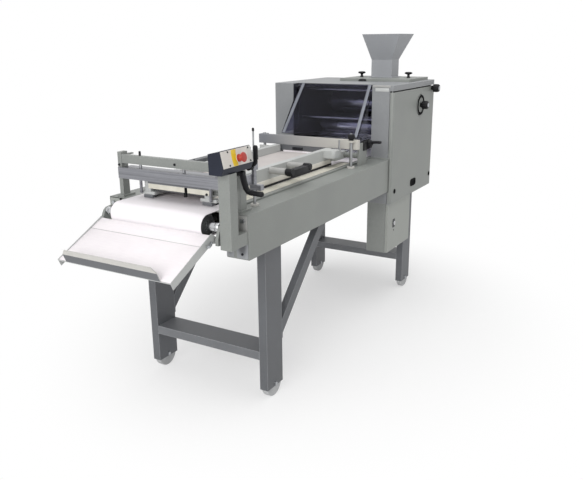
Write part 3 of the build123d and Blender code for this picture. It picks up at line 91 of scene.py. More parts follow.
def finish(name, dark, light, patch_mm, rough, grain_mm, relief, stretch=(1, 1, 1), drawn=False, metallic=0.0,
           specular=0.5, wear=None, wear_mm=2.0, inside=None, far=None):
    """Surface whose tone and gloss drift over patch_mm, with a grain of grain_mm that is relief mm deep.
    stretch draws the grain out along an axis, and the patches too where drawn. wear is the colour of edges,
    worn and with a painted highlight; inside is the painted shade within the head; far is a painted
    reflection's colour at the far side."""
    material = new_material(name)
    place = node(material, "TexCoord").outputs["Object"]
    stretched = node(material, "Mapping", {"Vector": place, "Scale": stretch}).outputs[0]
    patch = node(material, "TexNoise", {"Vector": stretched if drawn else place, "Scale": 1000 / patch_mm,
                                        "Detail": PATCH_DETAIL})
    grain = node(material, "TexNoise", {"Vector": stretched, "Scale": 1000 / grain_mm,
                                        "Detail": GRAIN_DETAIL})
    drift = node(material, "Math", (patch.outputs[0], PATCH_SHARE), operation="MULTIPLY")
    drift = node(material, "Math", (grain.outputs[0], GRAIN_SHARE, drift.outputs[0]),
                 operation="MULTIPLY_ADD")
    tone = node(material, "ValToRGB", (drift.outputs[0],))
    for stop, at, code in zip(tone.color_ramp.elements, TONE_SPAN, (dark, light)):
        stop.position = at
        stop.color = linear(code)
    colour = tone.outputs[0]
    # A colour goes into sockets 6 and 7 of a Mix node, and comes out of its socket 2
    # Edges lighter than the face: partly worn, partly a painted highlight where the rounded edge would catch
    # the light
    if wear:
        soft = node(material, "Bevel", {"Radius": wear_mm / 1000}, samples=4).outputs[0]
        face = node(material, "NewGeometry").outputs["Normal"]
        turn = node(material, "VectorMath", (soft, face), operation="DOT_PRODUCT").outputs["Value"]
        worn_lit = node(material, "MapRange", (turn, *WORN_LIT_SPAN, 0.0, WORN_LIT_MOST)).outputs[0]
        colour = node(material, "Mix", {0: worn_lit, 6: colour, 7: linear(wear)}, data_type="RGBA").outputs[2]
    # Painted shade: within the head's box the colour turns to the black of its shaded inside
    if inside:
        off = node(material, "VectorMath", (place, HEAD_CENTRE), operation="SUBTRACT")
        off = node(material, "VectorMath", (off.outputs[0], HEAD_HALF), operation="DIVIDE")
        off = node(material, "VectorMath", (off.outputs[0],), operation="ABSOLUTE")
        x, y, z = node(material, "SeparateXYZ", (off.outputs[0],)).outputs
        most = node(material, "Math", (x, y), operation="MAXIMUM")
        most = node(material, "Math", (most.outputs[0], z), operation="MAXIMUM")
        within = node(material, "Math", (most.outputs[0], 1.0), operation="LESS_THAN").outputs[0]
        colour = node(material, "Mix", {0: within, 6: colour, 7: linear(inside)}, data_type="RGBA").outputs[2]
    # Painted reflection: across the machine the colour fades to the far colour
    if far:
        y = node(material, "SeparateXYZ", (place,)).outputs[1]
        faded = node(material, "MapRange", (y, *PAINTED_REFLECTION_SPAN, 0.0, 1.0)).outputs[0]
        colour = node(material, "Mix", {0: faded, 6: colour, 7: linear(far)}, data_type="RGBA").outputs[2]
    gloss = node(material, "MapRange", (drift.outputs[0], *GLOSS_SPAN, *rough))
    bump = node(material, "Bump", {"Height": grain.outputs[0], "Distance": relief / 1000,
                                   "Strength": RELIEF_STRENGTH})
    shader = node(material, "BsdfPrincipled", {
        "Base Color": colour, "Roughness": gloss.outputs[0], "Normal": bump.outputs[0], "Metallic": metallic,
        "Specular IOR Level": specular})
    node(material, "OutputMaterial", {"Surface": shader.outputs[0]})
    return material


# Orange peel of sprayed powder; the real peel is about 1 mm, too fine to show, so it is drawn larger
PEEL_MM, PEEL_DEEP = 5, 0.05


def powder(name, dark, light, wear, patch_mm=200, rough=(0.44, 0.54), **more):
    """Powder-coated steel, its edges lighter: rubbed, and with a painted highlight."""
    name = "powder_coated_" + name
    return finish(name, dark, light, patch_mm, rough, PEEL_MM, PEEL_DEEP, wear=wear, **more)


# Coat of most of the sheet steel: an even neutral grey
powder_grey = powder("steel_grey", "#828582", "#8D908C", "#AEB0B1", 240)
# A slightly cooler batch on the head; its inner walls take a black painted shade, so that the rollers show
# behind the guard
powder_head = powder("steel_head", "#838587", "#8E9092", "#AEB0B1", 240, inside="#1B1C25")
# A paler, slightly greener copy of the grey coat, painted light, on the cabinet's door, whose face is lit
# brighter than the cabinet's side
powder_lit_grey = powder("steel_lit_grey", "#939691", "#9DA09B", "#B8BABB")
# The hopper's own coat, a cooler grey
powder_hopper = powder("hopper_grey", "#94969A", "#9EA0A4", "#B8BABE")
# A darker grey on the welded stand: painted shade under the machine. Its edges are pale, partly rubbed and
# partly a painted highlight
powder_legs = powder("tube_shaded_grey", "#585A5D", "#64666A", "#B4B6B9", rough=(0.42, 0.54), wear_mm=3.0)
# The rails between the legs: darker than the frame's grey as painted shade under the machine, lighter than
# the legs; their pale edges are partly worn, partly a painted highlight
powder_rails = powder("rail_grey", "#67696C", "#737578", "#D0D2D4", rough=(0.42, 0.54), wear_mm=4.0)
# Bead-blasted stainless sheet of the side guides and the tray: light grey, almost without shine
blasted_steel = finish(
    "bead_blasted_stainless_steel", "#B3B5B4", "#BFC1BF", 160, (0.46, 0.56), 3, 0.03, wear="#CBCDCB",
    metallic=0.1)
# Stoved navy enamel on a small folded steel case: deep blue with a soft gloss
navy_enamel = finish(
    "stoved_navy_enamel", "#161B29", "#1D2231", 60, (0.40, 0.50), 3, 0.04, wear="#444960", wear_mm=1.2,
    specular=0.3)
# Satin-anodised panel: pale, slightly warm sheet with a fine brushed line along its length
panel_satin = finish(
    "satin_anodised_panel", "#CCC8C2", "#D6D2CC", 50, (0.42, 0.52), 2, 0.02, stretch=(0.05, 1, 1))
# Yellow polyester film on the panel: flat, slightly glossy, a little uneven in tone
film_yellow = finish("printed_polyester_film_yellow", "#D9B81F", "#E4C52E", 25, (0.35, 0.45), 2, 0.01)
# Moulded red thermoplastic: saturated, smooth, with a soft highlight
stop_red = finish("moulded_red_thermoplastic", "#A4281C", "#B03628", 30, (0.28, 0.36), 1.5, 0.02)
# Glass-filled nylon, spark-eroded mould: black with a fine grain that dulls the highlight
nylon_black = finish(
    "moulded_black_nylon", "#101012", "#19191C", 40, (0.40, 0.52), 1.2, 0.05, specular=0.22)
# Soft black rubber: takes nearly all light. On the cup pull and the plugs its black is painted shade, so that
# they read as holes
rubber_black = finish(
    "soft_black_rubber", "#08080A", "#0E0E10", 40, (0.68, 0.80), 2, 0.03, specular=0.05)
# Pale nylon collar and scraper plates: off-white, waxy
nylon_pale = finish("turned_pale_nylon", "#C8C5B7", "#D4D1C5", 30, (0.40, 0.50), 1.5, 0.02)
# Extruded soft PVC edging: matt pale grey, drawn out across the machine
edging_pale = finish(
    "extruded_pvc_edging", "#BDBBB6", "#C9C7C2", 60, (0.48, 0.58), 2, 0.02, stretch=(1, 0.1, 1))
# Ground and chromed bar: mirror-like with fine turning marks round an upright bar
bright_steel = finish(
    "ground_bright_steel", "#B9BABC", "#CBCCCE", 40, (0.14, 0.24), 2, 0.01, stretch=(1, 1, 8), metallic=1.0)
# Cold-drawn column rod: duller than the ground bar, with a grey skin
column_steel = finish(
    "cold_drawn_steel_rod", "#8F9092", "#A5A6A8", 40, (0.26, 0.36), 2, 0.01, stretch=(1, 1, 8),
    metallic=1.0)
# Blackened steel pins and screws: dark oxide with a dull oily shine
black_oxide = finish("black_oxide_steel", "#26272A", "#34353A", 12, (0.34, 0.46), 1.5, 0.02, metallic=0.8)
# Polished stainless rollers: long soft mirror, faint lapping lines along the barrel
roller_steel = finish(
    "polished_stainless_steel", "#CFD0D3", "#DEDFE2", 80, (0.14, 0.22), 3, 0.01, stretch=(8, 0.2, 8),
    metallic=1.0)
# Brushed stainless steel: long fine scratches across the machine and a broad highlight. The real scratches
# are 0.2 mm; they are drawn at 3 mm.
brushed_steel = finish(
    "brushed_stainless_steel", "#7C7D82", "#9C9DA2", 48, (0.30, 0.42), 3, 0.015, stretch=(8, 0.1, 8),
    drawn=True, metallic=1.0)
# Drawn aluminium flat bar, drawn across. Its colour is a painted reflection: pale and warm on the operator's
# side, dull grey at the far side
brushed_aluminium = finish(
    "drawn_aluminium_bar", "#BDBAB3", "#C8C5BE", 400, (0.44, 0.54), 4, 0.015, stretch=(8, 0.12, 8),
    metallic=0.15, far="#7A7C82")
# Bright zinc plating on small fasteners, slightly blue and patchy
zinc_plate = finish("bright_zinc_plate", "#A4A7AA", "#BFC2C6", 8, (0.28, 0.42), 1.5, 0.02, metallic=1.0)
# Extruded anodised aluminium: grey metal with fine draw lines along the strip
strip_aluminium = finish(
    "anodised_aluminium_strip", "#73767E", "#82858D", 60, (0.42, 0.52), 2, 0.01, stretch=(1, 6, 1),
    metallic=0.6)
# Planed polyethylene board: waxy, slightly pink grey, with faint planing lines along its length
board_pale = finish(
    "planed_polyethylene_board", "#B9B3B1", "#C6C0BD", 120, (0.46, 0.58), 4, 0.03, stretch=(0.05, 1, 1))
# Cream polyethylene wear strip, skived: brighter than the board, with long pale streaks
wear_cream = finish(
    "skived_polyethylene_cream", "#DEDAD0", "#EAE7DF", 80, (0.42, 0.52), 3, 0.02, stretch=(0.05, 1, 1))
# Acetal sleeve over a guide rod: satin light grey
acetal_grey = finish(
    "turned_grey_acetal", "#9C9C9A", "#A9A9A6", 40, (0.36, 0.46), 2, 0.02, stretch=(1, 0.2, 1))
# Polyurethane belt cover on polyester weave: matt white, with the weave printed through. The real weave
# is 1 mm; it is drawn at 3 mm.
belt_white = finish("polyurethane_belt_white", "#EFEAED", "#F6F2F5", 300, (0.50, 0.62), 3, 0.03)
# Calendered polyethylene liner: smooth white sheet with faint cutting marks
liner_white = finish(
    "calendered_polyethylene_white", "#EDE7EA", "#F4EFF1", 160, (0.40, 0.52), 6, 0.02, stretch=(1, 0.15, 1))
# Grey rubber tyre: matt, pale and patchy
tyre_rubber = finish("grey_rubber_tyre", "#ACADAE", "#BEBFC0", 30, (0.65, 0.80), 3, 0.10)
# Sprayed machine enamel of a gear motor over cast ribs
motor_enamel = finish("sprayed_motor_enamel", "#3D4A57", "#495765", 60, (0.42, 0.55), 2, 0.10)
# Sand-cast iron: dark and grainy
cast_iron = finish("sand_cast_iron", "#3C3D3F", "#4A4B4D", 20, (0.50, 0.65), 1.5, 0.12, metallic=0.6)
# Light grey polyamide housings of contactors and terminals
gear_polyamide = finish("moulded_grey_polyamide", "#B9BBBC", "#C8CACA", 40, (0.45, 0.55), 1.5, 0.03)

# Smoked acrylic sheet: clear with a violet-grey tint and wiping smears. A dark specular tint makes it mirror
# less
# than bare acrylic: painted shade on its reflection, for surroundings darker than a studio.
SMEAR_MM, SMEAR_DETAIL, SMEAR_SPAN, SMEAR_ROUGH = 90, 5.0, (0.4, 0.7), (0.03, 0.09)
SMOKE_DARK, SMOKE_LIGHT = "#B4B4C6", "#BEBED0"
smoked_acrylic = new_material("smoked_acrylic_sheet")
place = node(smoked_acrylic, "TexCoord").outputs["Object"]
smear = node(smoked_acrylic, "TexNoise", {"Vector": place, "Scale": 1000 / SMEAR_MM, "Detail": SMEAR_DETAIL})
smoke = node(smoked_acrylic, "ValToRGB", (smear.outputs[0],))
for stop, code in zip(smoke.color_ramp.elements, (SMOKE_DARK, SMOKE_LIGHT)):
    stop.color = linear(code)
gloss = node(smoked_acrylic, "MapRange", (smear.outputs[0], *SMEAR_SPAN, *SMEAR_ROUGH))
shader = node(smoked_acrylic, "BsdfPrincipled", {
    "Base Color": smoke.outputs[0], "Roughness": gloss.outputs[0], "Transmission Weight": 1.0, "IOR": 1.49,
    "Specular Tint": linear("#65656D")})
node(smoked_acrylic, "OutputMaterial", {"Surface": shader.outputs[0]})

FINISHES = {
    powder_grey: "left_side_beam right_side_beam control_post gantry_frame cover_door hopper_plate "
                 "cabinet_body end_brackets belt_bed",
    powder_head: "left_housing right_housing head_cover",
    powder_lit_grey: "cabinet_door",
    powder_hopper: "hopper",
    blasted_steel: "left_guide right_guide outfeed_tray",
    powder_rails: "cross_members",
    powder_legs: "legs leg_braces guide_clamps board_hangers",
    navy_enamel: "control_box",
    panel_satin: "control_panel",
    stop_red: "estop_button",
    nylon_black: "rear_knob hand_lever front_clamp_lever rear_clamp cover_knob gap_dial "
                 "hopper_knob_left hopper_knob_right",
    bright_steel: "head_rods cabinet_lock",
    column_steel: "lift_columns",
    roller_steel: "outfeed_roller drive_roller feed_roller_front feed_roller_rear sheet_roller_front "
                  "sheet_roller_rear",
    brushed_steel: "lifting_bar curling_net motor_sprocket drive_chain",
    brushed_aluminium: "rear_crossbar",
    zinc_plate: "frame_bolts",
    strip_aluminium: "guard_strips",
    board_pale: "pressure_board",
    belt_white: "conveyor_belt",
    tyre_rubber: "front_left_wheel front_right_wheel rear_left_wheel rear_right_wheel",
    motor_enamel: "gear_motor",
    cast_iron: "roller_bearings gap_bearings",
    gear_polyamide: "cabinet_fittings",
    smoked_acrylic: "guard_panel",
}
for material, names in FINISHES.items():
    for name in names.split():
        nodes[name].data.materials.clear()
        nodes[name].data.materials.append(material)

# Folded and sawn pieces get the small radius, in millimetres, that a real edge has
SOFT_EDGES = {
    2.0: "left_side_beam right_side_beam legs cross_members",
    1.2: "control_post gantry_frame lifting_bar rear_crossbar cabinet_body cabinet_door control_box "
         "guide_clamps left_guide right_guide hopper_plate pressure_board board_hangers leg_braces "
         "head_cover left_housing right_housing cover_door hopper",
    0.6: "outfeed_tray control_panel guard_strips",
}
WELD_GAP, FLAT_WITHIN, EDGE_FROM = 0.00002, radians(1), radians(40)
for width, names in SOFT_EDGES.items():
    for name in names.split():
        weld = nodes[name].modifiers.new("weld", "WELD")
        weld.merge_threshold = WELD_GAP
        flat = nodes[name].modifiers.new("flat", "DECIMATE")
        flat.decimate_type = "DISSOLVE"
        flat.angle_limit = FLAT_WITHIN
        edge = nodes[name].modifiers.new("edge", "BEVEL")
        edge.width = width / 1000
        edge.segments = 2
        edge.limit_method = "ANGLE"
        edge.angle_limit = EDGE_FROM
        edge.harden_normals = True


# Forms

def ring(form, points):
    """Corners of one section, in order."""
    return [form.verts.new(p) for p in points]


def bridge(form, a, b):
    """Quads between two rings of the same count, or a fan where one is a single point."""
    count = max(len(a), len(b))
    for i in range(count):
        j = (i + 1) % count
        corners = [a[i % len(a)], a[j % len(a)], b[j % len(b)], b[i % len(b)]]
        corners = [v for k, v in enumerate(corners) if v not in corners[:k]]
        form.faces.new(corners)


def tube(form, sections, looped=False):
    """Skin through sections, joined end to end where looped; gives the sections' rings."""
    rings = [ring(form, points) for points in sections]
    for a, b in zip(rings, rings[1:] + rings[:1] if looped else rings[1:]):
        bridge(form, a, b)
    return rings


def closed_tube(form, sections):
    """Skin through sections, with a face over each end."""
    rings = tube(form, sections)
    form.faces.new(rings[0])
    form.faces.new(rings[-1])


def turned(form, profile, origin, axis, sides=40, flutes=0):
    """Form turned round an axis; the profile is (radius, distance along the axis) from end to end. A third
    number is the depth of the flutes there."""
    axis = Vector(axis).normalized()
    across = axis.orthogonal().normalized()
    up = axis.cross(across)
    sections = []
    for r, d, *cut in profile:
        points = []
        for i in range(sides if r else 1):
            t = 2 * pi * i / sides
            depth = cut[0] * (0.5 - 0.5 * cos(flutes * t)) ** 2 if cut else 0.0
            points.append(Vector(origin) + axis * d + (across * cos(t) + up * sin(t)) * (r - depth))
        sections.append(points)
    tube(form, sections)


def oval(centre, wide, high, sides, square=2.0):
    """Section with a half width and a half height as vectors; square 2 is an ellipse, and larger is more like
    a rounded rectangle."""
    points = []
    for i in range(sides):
        c, s = cos(2 * pi * i / sides), sin(2 * pi * i / sides)
        scale = (abs(c) ** square + abs(s) ** square) ** (-1 / square)
        points.append(Vector(centre) + Vector(wide) * c * scale + Vector(high) * s * scale)
    return points


def in_plane(x, stations):
    """Path of a bent bar that keeps its x, from (y, z, half width, half depth)."""
    return [((x, y, z), wide, deep) for y, z, wide, deep in stations]


def lofted(form, stations, sides=16, square=2.0):
    """Closed form through ovals (centre, half width vector, half height vector)."""
    closed_tube(form, [oval(*station, sides, square) for station in stations])


def bent(form, path, side, sides=16, square=2.6):
    """Bent bar through (point, half width along side, half depth)."""
    points = [Vector(p) for p, wide, deep in path]
    stations = []
    for i, (p, wide, deep) in enumerate(path):
        run = (points[min(i + 1, len(points) - 1)] - points[max(i - 1, 0)]).normalized()
        stations.append((p, Vector(side) * wide, run.cross(side) * deep))
    lofted(form, stations, sides, square)


def slab(form, outline, thickness, soft=0.0):
    """Plate with the outline of 3-D points, carried along a vector, its edges rounded by soft. In a form with
    other shapes it comes last: corners drawn after the rounding are numbered differently in each run."""
    low = ring(form, [Vector(p) for p in outline])
    high = ring(form, [Vector(p) + Vector(thickness) for p in outline])
    faces = [form.faces.new(low), form.faces.new(high)]
    for i in range(len(low)):
        j = (i + 1) % len(low)
        faces.append(form.faces.new([low[i], low[j], high[j], high[i]]))
    if soft:
        # Each edge once, in the order of the faces
        edges = dict.fromkeys(e for f in faces for e in f.edges)
        bmesh.ops.bevel(form, geom=list(edges), offset=soft, segments=2, profile=0.5, affect="EDGES",
                        clamp_overlap=True)


def bar(form, x, y, z, soft=0.8):
    """Straight bar or plate between pairs of limits, with rounded edges."""
    corners = [(x[0], y[0], z[0]), (x[1], y[0], z[0]), (x[1], y[1], z[0]), (x[0], y[1], z[0])]
    slab(form, corners, (0, 0, z[1] - z[0]), soft)


def form_of(shape, *sizes, **settings):
    """Form that holds one shape."""
    form = bmesh.new()
    shape(form, *sizes, **settings)
    return form


def on_side(side, near, far):
    """Limits in y on one side of the belt's middle."""
    return sorted((side * near, side * far))


def cap_screw(form, at, axis, r, height):
    """Socket head of a screw, standing on a face."""
    turned(form, [(0, 0.4 * height), (0.5 * r, 0.4 * height), (0.55 * r, height), (0.86 * r, height),
                  (r, 0.82 * height), (r, -0.3)], at, axis, sides=24)


def placed(name, data):
    """New object in the scene."""
    made = bpy.data.objects.new(name, data)
    bpy.context.scene.collection.objects.link(made)
    return made


def piece(name, form, material, body="frame", replaced=(), smooth=40):
    """Finishes a form as an object that rides on a body."""
    bmesh.ops.remove_doubles(form, verts=form.verts, dist=0.001)
    bmesh.ops.recalc_face_normals(form, faces=form.faces)
    form.transform(TO_FRAME)
    mesh = bpy.data.meshes.new(name)
    form.to_mesh(mesh)
    form.free()
    for face in mesh.polygons:
        face.use_smooth = True
    mesh.set_sharp_from_angle(angle=radians(smooth))
    mesh.materials.append(material)
    made = placed(name, mesh)
    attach(made, body)
    if replaced:
        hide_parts(*replaced)


def moulding(name, form, body, *replaced):
    """Piece moulded in black nylon with soft curves."""
    piece(name, form, nylon_black, body, replaced, smooth=50)


# Sheets and films that lie on a face stand off it by this
GAP = 0.05

# Conveyor belt: one closed loop with rounded edges; the lower run sags a little

BELT_TOP, BELT_HALF, BELT_THICK, BELT_EDGE, BELT_SAG = 885.0, 227.5, 2.5, 0.7, 6.0
OUTFEED_X, DRIVE_X, BELT_R = -82.0, 1930.0, 45.8
ROLLER_Z = BELT_TOP - BELT_R
RUN_STEPS, BEND_STEPS = 40, 24


def along_belt(share):
    """Place along the belt, from the outfeed roller to the drive roller."""
    return OUTFEED_X + (DRIVE_X - OUTFEED_X) * share


def belt_bend(x, start, count):
    """Points of the belt round a roller, each with its direction outward."""
    turns = [start - pi * i / BEND_STEPS for i in range(count)]
    return [(x + BELT_R * cos(t), ROLLER_Z + BELT_R * sin(t), cos(t), sin(t)) for t in turns]


shares = [i / RUN_STEPS for i in range(RUN_STEPS)]
belt_line = [(along_belt(s), BELT_TOP, 0.0, 1.0) for s in shares]
belt_line += belt_bend(DRIVE_X, pi / 2, BEND_STEPS + 1)
belt_line += [(along_belt(1 - s), ROLLER_Z - BELT_R - BELT_SAG * sin(pi * s), 0.0, -1.0) for s in shares[1:]]
belt_line += belt_bend(OUTFEED_X, -pi / 2, BEND_STEPS)
flat_half, under = BELT_HALF - BELT_EDGE, BELT_THICK - BELT_EDGE
belt_section = [(-BELT_HALF, BELT_EDGE), (-flat_half, 0), (flat_half, 0), (BELT_HALF, BELT_EDGE),
                (BELT_HALF, under), (flat_half, BELT_THICK), (-flat_half, BELT_THICK), (-BELT_HALF, under)]
sections = [[(x - nx * deep, y, z - nz * deep) for y, deep in belt_section] for x, z, nx, nz in belt_line]
piece("belt_loop", form_of(tube, sections, looped=True), belt_white, replaced=["conveyor_belt"])

# Curling net: wires both ways, woven over and under each other

NET_LOW, NET_HIGH = Vector((1345, 0, 891)), Vector((1651, 0, 955))
NET_HALF, NET_PITCH, WIRE_R = 195.0, 24.0, 1.5
net_run = NET_LOW - NET_HIGH
net_out = net_run.normalized().cross(Y)


def wire(form, start, end, number, side):
    """Wire that goes over and under those that it crosses; odd numbers start the other way."""
    run = end - start
    steps = int(run.length / (NET_PITCH / 2))
    across = run.normalized().cross(net_out)
    stations = []
    for i in range(steps + 1):
        lift = WIRE_R * side * cos(pi * (i + number % 2))
        stations.append((start + run * i / steps + net_out * lift, across * WIRE_R, net_out * WIRE_R))
    lofted(form, stations, sides=6)


rows = int(net_run.length // NET_PITCH)
columns = int(2 * NET_HALF // NET_PITCH)
form = bmesh.new()
for i in range(columns + 1):
    y = Y * (-NET_HALF + 2 * NET_HALF * i / columns)
    wire(form, NET_HIGH + y, NET_LOW + y, i, 1)
for i in range(rows + 1):
    at = NET_HIGH + net_run * (i / rows)
    wire(form, at - Y * NET_HALF, at + Y * NET_HALF, i, -1)
piece("net_wires", form, bright_steel, replaced=["curling_net"])

# Outfeed tray: white liner in two sheets, pale hem and a dark film of painted shade on the lip, stop stub

TRAY_EDGE = Vector((-369, 0, 707))
TRAY_ALONG, TRAY_OFF = Vector((0.9069, 0, 0.4214)), Vector((-0.4214, 0, 0.9069))
LINER_HALF, LINER_THICK, LINER_SHEETS = 275.4, 1.6, ((3.8, 196.0), (199.4, 264.8))
LIP_UP, LIP_IN, LIP_THICK = Vector((-0.4, 0, 0.9165)), Vector((0.9165, 0, 0.4)), 2.0
LIP_FILM, HEM_INNER = 0.2, 0.8
LIP_HEM = [(-231, 38), (-212, 60.2), (212, 60.2), (231, 38)]
LIP_SHADE_FILM = [(-231, 1.5), (-231, 37.7), (231, 37.7), (231, 1.5)]
STOP_STUB = [((-134, -280, 794), 4.5, 4), ((-145, -286, 790), 5, 4.5), ((-158, -287.5, 785), 5, 4.5),
             ((-167, -286, 785.5), 4.5, 4), ((-170, -285.5, 786.5), 2.5, 2)]


def on_tray(forward, y):
    """Point just above the tray's floor, counted up the slope from its front edge."""
    return TRAY_EDGE + TRAY_ALONG * forward + TRAY_OFF * GAP + Y * y


def on_lip(y, height, inward):
    """Point on the lip of the tray, counted up its slope and in from its outer face."""
    return TRAY_EDGE + LIP_UP * height + LIP_IN * inward + Y * y


form = bmesh.new()
for start, end in LINER_SHEETS:
    corners = ((start, -LINER_HALF), (end, -LINER_HALF), (end, LINER_HALF), (start, LINER_HALF))
    slab(form, [on_tray(forward, y) for forward, y in corners], TRAY_OFF * LINER_THICK, 0.5)
piece("tray_liner", form, liner_white, "outfeed_tray")
form = bmesh.new()
slab(form, [on_lip(y, height, -GAP) for y, height in LIP_HEM], -LIP_IN * LIP_FILM)
slab(form, [on_lip(y, height, LIP_THICK + GAP) for y, height in LIP_HEM], LIP_IN * HEM_INNER)
bent(form, [(on_lip(y, 60.9, 1.9), 1.5, 0.7) for y in (-211, 211)], LIP_IN, sides=12, square=4)
piece("tray_lip_hem", form, edging_pale, "outfeed_tray")
# Painted shade: dark film on the lip's outer face, which faces down and away from the light
facing = form_of(slab, [on_lip(y, height, -GAP) for y, height in LIP_SHADE_FILM], -LIP_IN * LIP_FILM)
piece("tray_lip_shade_film", facing, powder_legs, "outfeed_tray")
piece("tray_stop_stub", form_of(bent, STOP_STUB, Z), zinc_plate, "outfeed_tray")

# Outfeed roller: black end discs and bright shaft sleeves

ROLLER_END_Y = 226.8
END_DISC = [(18.4, -5), (41, -5), (42.2, -3.8), (42.2, -0.8), (41, 0), (36, 0), (34, -1.6), (24, -1.6),
            (22, 0), (18.4, 0), (18.4, -5)]
SHAFT_SLEEVE = [(10.1, 0.4), (15.6, 0.4), (17, 1.6), (17, 40), (15, 41.5), (15, 44), (17, 45.5), (17, 55.5),
                (15.8, 57), (10.1, 57), (10.1, 0.4)]
discs, sleeves = bmesh.new(), bmesh.new()
for side in (OPERATOR, FAR):
    at = (OUTFEED_X, side * ROLLER_END_Y, ROLLER_Z)
    turned(discs, END_DISC, at, Y * side, sides=64)
    turned(sleeves, SHAFT_SLEEVE, at, Y * side, sides=48)
piece("roller_end_discs", discs, cast_iron, "outfeed_roller")
piece("roller_shaft_sleeves", sleeves, bright_steel, "outfeed_roller")

# Control panel: screws, yellow band, end trim and the mushroom stop button with its collar

PANEL_EDGE, PANEL_THICK, TRIM_THICK, BAND_THICK = Vector((0, -357, 1073)), 2.5, 1.1, 0.5
PANEL_UP, PANEL_OUT = Vector((0, 0.2316, 0.9728)), Vector((0, -0.9728, 0.2316))
BAND = [(-86, 3), (-88.5, 18), (-89, 32), (-88, 47), (-85, 61.5), (-57, 61.5), (-60, 47), (-61, 32),
        (-60.5, 18), (-58, 3)]
END_TRIM = [(12, 2.4), (36.6, 2.4), (36.6, 62), (12, 62)]
STOP_FACE = Vector((-48, -350.57, 1100))
STOP_COLLAR = [(14, 2.4), (16, 2.4), (16, 3.6), (15.4, 4.4), (14.6, 4.4), (14, 3.6), (14, 2.4)]
STOP_RING = [(12.8, 2.5), (13.8, 2.5), (13.8, 7.6), (13.4, 8.6), (12.8, 8.8), (12.8, 2.5)]
STOP_MUSHROOM = [(0, -8), (9.9, -8), (9.9, 9.2), (12.4, 9.4), (12.4, 12.5), (11.6, 15.5), (10.4, 18),
                 (10.6, 19.4), (12.6, 21), (16, 22.4), (18, 24), (18.4, 25.6), (17.4, 27.4), (13.5, 28.6),
                 (7, 29), (0, 29)]


def on_panel(x, up, out=PANEL_THICK):
    """Point on the panel's face: along the box and up from the lower edge of the sloping face."""
    return PANEL_EDGE + X * x + PANEL_UP * up + PANEL_OUT * out


form = bmesh.new()
for x, up, under in ((-107, 57, 0), (19, 57, TRIM_THICK), (-108, 8.6, 0), (21, 8.4, TRIM_THICK)):
    cap_screw(form, on_panel(x, up, PANEL_THICK + under), PANEL_OUT, 3.4, 1.8)
piece("panel_screws", form, black_oxide)
band = form_of(slab, [on_panel(x, up) for x, up in BAND], PANEL_OUT * BAND_THICK)
piece("panel_band", band, film_yellow)
trim = form_of(slab, [on_panel(x, up) for x, up in END_TRIM], PANEL_OUT * TRIM_THICK, 0.4)
piece("panel_end_trim", trim, edging_pale)
piece("stop_collar", form_of(turned, STOP_COLLAR, STOP_FACE, PANEL_OUT), nylon_pale)
guide = form_of(turned, STOP_RING, STOP_FACE, PANEL_OUT, sides=56)
piece("stop_guide_ring", guide, stop_red, smooth=50)
mushroom = form_of(turned, STOP_MUSHROOM, STOP_FACE, PANEL_OUT, sides=56)
piece("stop_mushroom", mushroom, stop_red, "estop_button", ["estop_button"], smooth=50)

# Black strip on the box's lower face, under the panel: painted shade on the navy face
BOX_LOW, STRIP_THICK = Vector((0, -347, 1049)), 0.6
LOWER_STRIP = [(-146, 2), (38, 2), (38, 23.5), (-146, 23.5)]
box_up = (PANEL_EDGE - BOX_LOW).normalized()
box_out = box_up.cross(X)
corners = [BOX_LOW + X * x + box_up * up + box_out * GAP for x, up in LOWER_STRIP]
piece("box_lower_shade_strip", form_of(slab, corners, box_out * STRIP_THICK), nylon_black)

# Hand lever: moulded arm on its hub, bent to a round grip

LEVER_PIVOT = (2, -297.5, 1034)
LEVER_HUB = [(0, 0), (8, 0), (8, 13.2), (9.6, 13.2), (10.6, 14.4), (10.6, 42), (9.4, 44.2), (0, 44.5)]
LEVER_ARM = [((1, -331, 1040), 9, 9), ((3.5, -331, 1034), 13.4, 10.8), ((14, -331, 1001), 13.2, 10.8),
             ((25, -332, 972), 12.4, 10.8), ((29.5, -337, 961.5), 10.6, 10.4), ((31, -350, 956), 10, 10),
             ((31, -375, 955), 9.6, 9.6), ((31, -397, 955), 10.6, 10.6), ((31, -403.2, 955), 7.5, 7.5),
             ((31, -405, 955), 3, 3)]
form = bmesh.new()
turned(form, LEVER_HUB, LEVER_PIVOT, -Y)
bent(form, LEVER_ARM, X, sides=20)
moulding("hand_lever_moulding", form, "hand_lever", "hand_lever")

# Clamp lever on the front column: hub, elbow, and an upright handle on a neck

CLAMP_PIVOT, CLAMP_ARM_X = (103, -290, 1034), 112
CLAMP_HUB = [(0, 0), (9.5, 0), (11, 1.5), (11, 25.2), (4, 25.3), (4, 33.4), (0, 33.5)]
CLAMP_ELBOW = [(-287, 1028, 8, 8), (-290, 1036, 9.6, 12), (-298, 1046, 9.8, 13), (-310, 1053, 9.8, 12.6),
               (-319, 1060, 9.4, 10.4), (-321, 1065, 8, 8)]
CLAMP_NECK = [(-320.6, 1063, 6.6, 6.6), (-321, 1071, 6.6, 6.6)]
CLAMP_HANDLE = [(-321, 1067.6, 7, 7), (-321, 1069, 9.2, 9.4), (-320.6, 1094, 8.6, 8.8),
                (-320, 1115, 9.2, 9.4), (-320, 1121.4, 7, 7), (-320, 1123, 3, 3)]
form = bmesh.new()
turned(form, CLAMP_HUB, CLAMP_PIVOT, X)
for part in (CLAMP_ELBOW, CLAMP_NECK, CLAMP_HANDLE):
    bent(form, in_plane(CLAMP_ARM_X, part), X)
moulding("front_clamp_moulding", form, "front_clamp_lever", "front_clamp_lever")

# Black tips on the front column and the guide pins, boot on the middle screw

